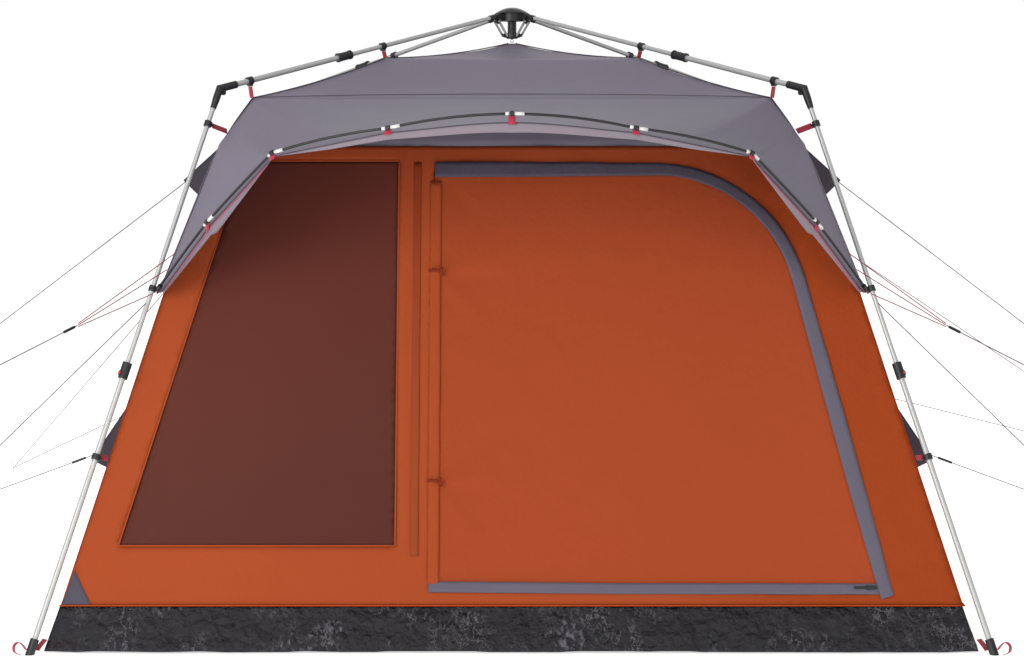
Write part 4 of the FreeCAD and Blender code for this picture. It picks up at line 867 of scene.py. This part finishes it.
ROOT = mirrored_knots([(0.0, Vector((0, -0.8975, 1.805))), (0.36, Vector((0.889, -0.8975, 1.805))),
                       (0.62, Vector((0.996, -1.003, 1.647))), (1.0, Vector((1.178, -1.186, 1.152)))])
HEM = mirrored_knots([(0.0, Vector((0, -1.860, 1.712))), (0.27, Vector((0.383, -1.820, 1.681))),
                      (0.52, Vector((0.748, -1.700, 1.608))), (0.76, Vector((0.978, -1.450, 1.383))),
                      (1.0, Vector((1.176, -1.196, 1.148)))])
# how far the facing under the hem hangs down, as (u, depth)
FACING = [(0.0, 0.031), (0.27, 0.021), (0.40, 0.014), (0.52, 0.0015), (0.60, 0.012), (0.74, 0.029), (0.765, 0.031),
          (0.775, 0.021), (1.0, 0.009)]
POLE_BULGE = (0.010, 0.009, 0.002, 0.002)
POLE_RADIUS, FERRULE_RADIUS, FERRULE_LENGTHS = 0.0045, 0.0056, (0.030, 0.012)


def awning_point(u, v):
    """u from -1 at the left end to 1 at the right, v from 0 at the eave to 1 at the front hem."""
    a = smooth_points(ROOT, u, sharp=(1, 2, 4, 5))
    b = smooth_points(HEM, u, sharp=(1, 2, 3, 5, 6, 7))
    p = a.lerp(b, v)
    width = (b - a).length
    sag = 0.018 * math.sin(math.pi * v) * min(1.0, width / 0.8)
    fold = ripple(u * 1.6, v * width, 0.22, 41.0, (1.0, 0.5)) * 0.0035 * math.sin(math.pi * v)
    return p + Vector((0, 0.25, -0.97)) * (sag + fold)


def make_awning():
    columns, rows = 181, 30
    verts = [awning_point(t * 0.999, v) for v, t in grid_places(rows, columns)]
    obj = thick(make("awning_cloth", verts, grid_faces(rows, columns, flip=True), FLY))
    soft(obj, "fly_fabric", ["awning"])
    count = 241
    us = [(2 * j / (count - 1) - 1) * 0.992 for j in range(count)]
    hem = [awning_point(u, 1.0) for u in us]
    piping("awning_piping", [p + Vector((0, -0.001, 0.0)) for p in hem], 0.0020)
    down = [hem_down(u) for u in us]
    verts = []
    for i in range(5):
        for u, p, d in zip(us, hem, down):
            verts.append(p + d * (facing_depth(abs(u)) * i / 4) + Vector((0, 0.0015 * i, 0)))
    facing = make("awning_facing", verts, grid_faces(5, count, flip=True), FLY_EDGE)
    soft(thick(facing, 0.001), "fly_fabric")
    for name, sign in SIDES:
        line = [p + d * 0.005 + Vector((0, -0.0015, 0)) for u, p, d in zip(us, hem, down) if 0.54 < u * sign < 0.985]
        piping(f"awning_thread_{name}", line, 0.0016, PINK_PIPING)
    eave = []
    for k in range(61):
        t = k / 30 - 1
        half = EAVE_HALF - 0.006 - 0.060 * (1 - t * t)
        sag = 0.010 * (1 - t * t) * edge_fade(EAVE_HALF - half, 0.25)
        eave.append(Vector((0.889 * t, -half, roof_height(half) - sag + 0.0015)))
    piping("fly_eave_seam", eave, 0.0012)
    make_awning_pole()


def facing_depth(u):
    for (u0, d0), (u1, d1) in zip(FACING, FACING[1:]):
        if u <= u1:
            return d0 + (d1 - d0) * (u - u0) / (u1 - u0)
    return FACING[-1][1]


def hem_down(u):
    """Direction square to the awning's edge, towards the opening under it."""
    run = awning_point(min(1.0, u + 0.003), 1.0) - awning_point(max(-1.0, u - 0.003), 1.0)
    return Vector((run.z, 0, -run.x)).normalized()


def make_awning_pole():
    points = [Vector((-x, y, z)) for x, y, z in reversed(POLE[1:])] + [Vector(p) for p in POLE]
    bulges = POLE_BULGE[::-1] + POLE_BULGE
    for i, (a, b, bulge) in enumerate(zip(points, points[1:], bulges)):
        run = (b - a).normalized()
        up = Vector((-run.z, 0, run.x)).normalized()
        start, end = a + run * 0.007, b - run * 0.007
        path = [start.lerp(end, t / 12) + up * (4 * bulge * (t / 12) * (1 - t / 12)) for t in range(13)]
        pole = tube(f"awning_pole_{i}", path, POLE_RADIUS, FIBREGLASS, 14)
        soft(pole, "fibreglass", ["awning_pole"] if i == 0 else [])
        for k, (corner, length) in enumerate(zip((a, b), FERRULE_LENGTHS)):
            if abs(corner.x) < 1.1:
                tip = path[1] if k == 0 else path[-2]
                towards = (tip - corner).normalized()
                ends = [corner + towards * 0.008, corner + towards * (0.008 + length)]
                soft(tube(f"ferrule_{i}_{k}", ends, FERRULE_RADIUS, PALE, 14), "fibreglass")
    for i, p in enumerate(points[1:-1]):
        hem_p = awning_point(hem_u(p.x), 1.0)
        side = (points[i + 2] - points[i]).normalized() * 0.0115
        top, foot = p + Vector((0, 0, -0.006)), hem_p + Vector((0, -0.004, -0.006))
        verts = []
        for k in range(5):
            middle = top.lerp(foot, k / 4) + Vector((0, -0.004 * math.sin(math.pi * k / 4), 0))
            verts += [middle - side, middle + side]
        soft(thick(make(f"awning_tab_{i}", verts, grid_faces(5, 2), RED_WEB), 0.002, 0.0), "red_webbing")


def hem_u(x):
    """Place u along the hem whose point has this x, found by halving."""
    low, high = -1.0, 1.0
    for _ in range(40):
        mid = (low + high) / 2
        if awning_point(mid, 1.0).x < x:
            low = mid
        else:
            high = mid
    return low


# top, tip and foot of each hood as (x, z), half widths at the top and the tip, length of its cloth
VENTS = {"upper": ((0.91342, 1.785), (1.222, 1.515), (1.0970, 1.400), 0.270, 0.190, 0.42),
         "lower": ((1.2351, 0.960), (1.576, 0.470), (1.4034, 0.400), 0.280, 0.200, 0.6)}


def skirt_half(z):
    """Half width of the fly skirt, as the upper hoods' gussets meet it."""
    if z > SHOULDER_Z:
        return 1.006 - (z - SHOULDER_Z) * (0.106 / 0.158)
    return 1.006 + (SHOULDER_Z - z) * 0.368


def make_vents():
    first = True
    for name, (top, tip, foot, wide, narrow, drop) in VENTS.items():
        for side, sign in SIDES:
            rows, columns = 16, 22
            verts = []
            for v, t in grid_places(rows, columns):
                half = wide + (narrow - wide) * v
                x, z = (a + (b - a) * v for a, b in zip(top, tip))
                sag = 0.010 * math.sin(math.pi * v) * (1 - t * t)
                verts.append((sign * (x - sag), t * half, z - sag * 0.5))
            sheet = make(f"vent_hood_{name}_{side}", verts, grid_faces(rows, columns, flip=sign > 0), VENT)
            soft(thick(sheet), "vent_fabric", ["vent_hoods"] if first else [])
            first = False
            for end, ysign in (("front", -1), ("rear", 1)):
                p, q, r = (Vector((sign * a[0], ysign * w, a[1]))
                           for a, w in ((top, wide), (tip, narrow), (foot, wide)))
                p.z -= 0.003
                q.z -= 0.003
                verts = []
                n = 10
                for v, t in grid_places(n, n):
                    w = (t + 1) / 2
                    point = p.lerp(q, v).lerp(p.lerp(r, v), w)
                    if name == "upper":
                        point.x = sign * max(abs(point.x), skirt_half(point.z))
                    point.y += ysign * 0.004 * math.sin(math.pi * w) * v
                    verts.append(point)
                faces = grid_faces(n, n, flip=(sign * ysign) < 0)
                gusset = make(f"vent_gusset_{name}_{side}_{end}", verts, faces, VENT)
                bm = bmesh.new()
                bm.from_mesh(gusset.data)
                bmesh.ops.remove_doubles(bm, verts=bm.verts, dist=1e-5)
                bm.to_mesh(gusset.data)
                bm.free()
                soft(thick(gusset), "vent_fabric")


# ---- straps and ties ----
def turn_point(r, y, z, azimuth):
    a = math.radians(azimuth)
    return Vector((r * math.cos(a) - y * math.sin(a), r * math.sin(a) + y * math.cos(a), z))


def flat_strap(name, points, width, azimuth, steps=14, replaces=(), tilt=0.0):
    """Webbing through (r, z) points in a corner's plane, its width across that plane or tilted from it."""
    knots = [(i / (len(points) - 1), Vector((p[0], 0, p[1]))) for i, p in enumerate(points)]
    verts = []
    for i in range(steps + 1):
        u = i / steps
        p = smooth_points(knots, u)
        q = smooth_points(knots, min(1.0, u + 0.02)) - smooth_points(knots, max(0.0, u - 0.02))
        up = Vector((-q.z, 0, q.x)).normalized() * math.sin(tilt)
        for k in range(4):
            t = (k / 3 - 0.5) * width
            verts.append(turn_point(p.x + up.x * t, t * math.cos(tilt), p.z + up.z * t, azimuth))
    obj = thick(make(name, verts, grid_faces(steps + 1, 4), RED_WEB), 0.0018, 0.0)
    return soft(obj, "red_webbing", replaces)


LEG_STRAP_TILT = 1.1      # straps on the legs hang edge up, so their flat side faces outward
STRAP_WIDTH, FOOT_STRAP_WIDTH, TAIL_WIDTH = 0.020, 0.026, 0.014
# the tail loop past each foot, as (r beyond the foot's middle, z)
TAIL = [(0.014, 0.018), (0.026, 0.034), (0.044, 0.046), (0.060, 0.036), (0.058, 0.016), (0.036, 0.004)]


def strap_places():
    """For each strap of a corner: the tube's middle (r, z), the tube's radius, the cloth's point (r, z), the tilt."""
    places = []
    for r, radius, fr, fz in ((RIDGE_HALF * ROOT2 + 0.013, THIN[0], RIDGE_HALF * ROOT2, RIDGE_Z),
                              (EAVE_HALF * ROOT2 + 0.010, THICK[0], EAVE_HALF * ROOT2, EAVE_Z)):
        places.append(((r, HUB_PIVOT[1] - (r - HUB_PIVOT[0]) * ARM_SLOPE), radius, (fr, fz), 0.0))
    shoulder = SHOULDER_HALF + (EAVE_HALF - SHOULDER_HALF) * (1.690 - SHOULDER_Z) / (EAVE_Z - SHOULDER_Z)
    for z, radius, half, fz in ((1.715, THIN[0], shoulder, 1.690), (1.165, THIN[0], HEM_HALF, HEM_Z + 0.004),
                                (0.620, THICK[0], side_half(0.612), 0.612)):
        places.append(((ELBOW[0] + (ELBOW[1] - z) * LEG_SLOPE, z), radius, (half * ROOT2, fz), LEG_STRAP_TILT))
    return places


def make_straps():
    corner_r = FLOOR_HALF * ROOT2
    first = True
    for corner, azimuth in CORNERS.items():
        for i, (centre, radius, cloth, tilt) in enumerate(strap_places()):
            c, f = Vector(centre), Vector(cloth)
            run = (f - c).normalized()
            start, end = c + run * (radius + 0.0105), f - run * 0.001
            flat_strap(f"strap_{corner}_{i}", [start, start.lerp(end, 0.5), end], STRAP_WIDTH, azimuth,
                       replaces=["webbing_straps"] if first else (), steps=6, tilt=tilt)
            first = False
        strap = [(corner_r - 0.008, 0.042), (corner_r + 0.016, 0.020), (FOOT[0] - 0.0275, 0.010)]
        flat_strap(f"foot_strap_{corner}", strap, FOOT_STRAP_WIDTH, azimuth, steps=10)
        tail = [(FOOT[0] + r, z) for r, z in TAIL]
        flat_strap(f"foot_strap_tail_{corner}", tail, TAIL_WIDTH, azimuth, steps=26)


def make_ties():
    """The two cloth ties at the door's left edge, each with its small toggle."""
    for i, z in enumerate(TIE_HEIGHTS):
        base = on_front(DOOR_LEFT - 0.016, z, 0.007)
        end = on_front(DOOR_LEFT + 0.024, z - 0.004, 0.007)
        route = [base, base + FRONT_OUT * 0.010 + Vector((0.008, 0, 0.004)), end + FRONT_OUT * 0.013,
                 end + FRONT_OUT * 0.002]
        tie = tube(f"door_tie_{i}", centreline(f"tie_route_{i}", route), 0.0042, TIE, 8)
        soft(tie, "tie_loop", ["door_ties"] if i == 0 else [])
        low, high = (end + FRONT_OUT * 0.012 + Vector((0.004, 0, z_off)) for z_off in (-0.014, 0.014))
        toggle = tube(f"door_toggle_{i}", [low, end + FRONT_OUT * 0.014, high], 0.0048, TIE, 10)
        soft(toggle, "tie_loop")


# ---- frame: the CAD nodes' own solids, one object for each material ----
def mesh_of(node):
    bm = bmesh.new()
    bm.from_mesh(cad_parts[node].data)
    return bm


def part_of(name, chosen, material):
    """New piece from some of a CAD node's faces."""
    index, verts, faces = {}, [], []
    for face in chosen:
        loop = []
        for vert in face.verts:
            key = tuple(round(c, 6) for c in vert.co)
            if key not in index:
                index[key] = len(verts)
                verts.append(vert.co.copy())
            loop.append(index[key])
        if len(set(loop)) > 2:
            faces.append(tuple(loop))
    obj = make(name, verts, faces, material)
    obj.modifiers.new("edges", "EDGE_SPLIT").split_angle = math.radians(35)
    return obj


def on_tube(face, start, run, ends, outer, bore):
    """Whether a face belongs to the tube itself and not to the fitting round it."""
    rel = face.calc_center_median() - start
    s = rel.dot(run)
    radial = rel - run * s
    d = radial.length
    slack = 0.0004
    if not ends[0] - slack < s < ends[1] + slack or d > outer + slack:
        return False
    lengthwise = face.normal.dot(run)
    if abs(lengthwise) > 0.7:
        return s < ends[0] + slack and lengthwise < 0 or s > ends[1] - slack and lengthwise > 0
    outward = face.normal.dot(radial) > 0
    return outward if d > (outer + bore) / 2 else not outward


def split(node, belongs, names, materials, slots):
    """Stands the CAD node's solids up as two pieces, the faces that belong and the rest."""
    bm = mesh_of(node)
    first = [f for f in bm.faces if belongs(f)]
    chosen = set(first)
    rest = [f for f in bm.faces if f not in chosen]
    for name, faces, material, slot in zip(names, (first, rest), materials, slots):
        stand(part_of(name, faces, material), node, slot, [node])
    bm.free()


def split_tube(node, start, end, ends, outer, bore):
    """Parts a metal tube from its moulded fittings."""
    run = (end - start).normalized()
    split(node, lambda f: on_tube(f, start, run, ends, outer, bore), (f"{node}_tube", f"{node}_fitting"),
          (ALUMINIUM, BLACK), ("aluminium_tube", "black_plastic"))


def is_hook(face):
    return max(v.co.z for v in face.verts) < HOOK_TOP + 0.0001 and face.calc_center_median().z < HOOK_TOP - 0.0001


def make_frame():
    arm = math.hypot(ELBOW[0] - HUB_PIVOT[0], ELBOW[1] - HUB_PIVOT[1])
    leg = math.hypot(FOOT[0] - ELBOW[0], FOOT[1] - ELBOW[1])
    arm_lock = (ARM_LOCK_R - HUB_PIVOT[0]) / (ELBOW[0] - HUB_PIVOT[0]) * arm
    leg_lock = (ELBOW[1] - LEG_LOCK_Z) / ELBOW[1] * leg
    for corner, azimuth in CORNERS.items():
        top, bend, toe = (turn_point(r, 0.0, z, azimuth) for r, z in (HUB_PIVOT, ELBOW, FOOT))
        for name, start, end, ends, radii in (("arm_inner", top, bend, (0.025, arm_lock + 0.100), THIN),
                                              ("arm_outer", top, bend, (arm_lock, arm - 0.026), THICK),
                                              ("leg_upper", bend, toe, (0.020, leg_lock + 0.100), THIN),
                                              ("leg_lower", bend, toe, (leg_lock, leg - 0.032), THICK)):
            split_tube(f"{name}_{corner}", start, end, ends, *radii)
        for node, material in ((f"foot_{corner}", BLACK), (f"leg_button_{corner}", RED_PLASTIC),
                               (f"strut_{corner}", STEEL)):
            paint(node, material)
    split("hub", is_hook, ("hub_hook", "hub_block"), (STEEL, BLACK), ("strut_steel", "black_plastic"))
    for node, material in (("hub_collar", BLACK), ("ground_peg", STEEL), ("zip_slider", BLACK)):
        paint(node, material)
    for node in ("pole_clips", "guy_tensioners"):
        bm = mesh_of(node)
        soft(part_of(f"{node}_set", bm.faces, BLACK), "black_plastic", [node])
        bm.free()


def paint(node, material):
    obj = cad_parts[node]
    if not obj.material_slots:
        obj.data.materials.append(material)
    for slot in obj.material_slots:
        slot.material = material


make_stage()
make_guys()
make_groundsheet()
make_walls()
make_door()
make_fly()
make_awning()
make_vents()
make_straps()
make_ties()
make_frame()
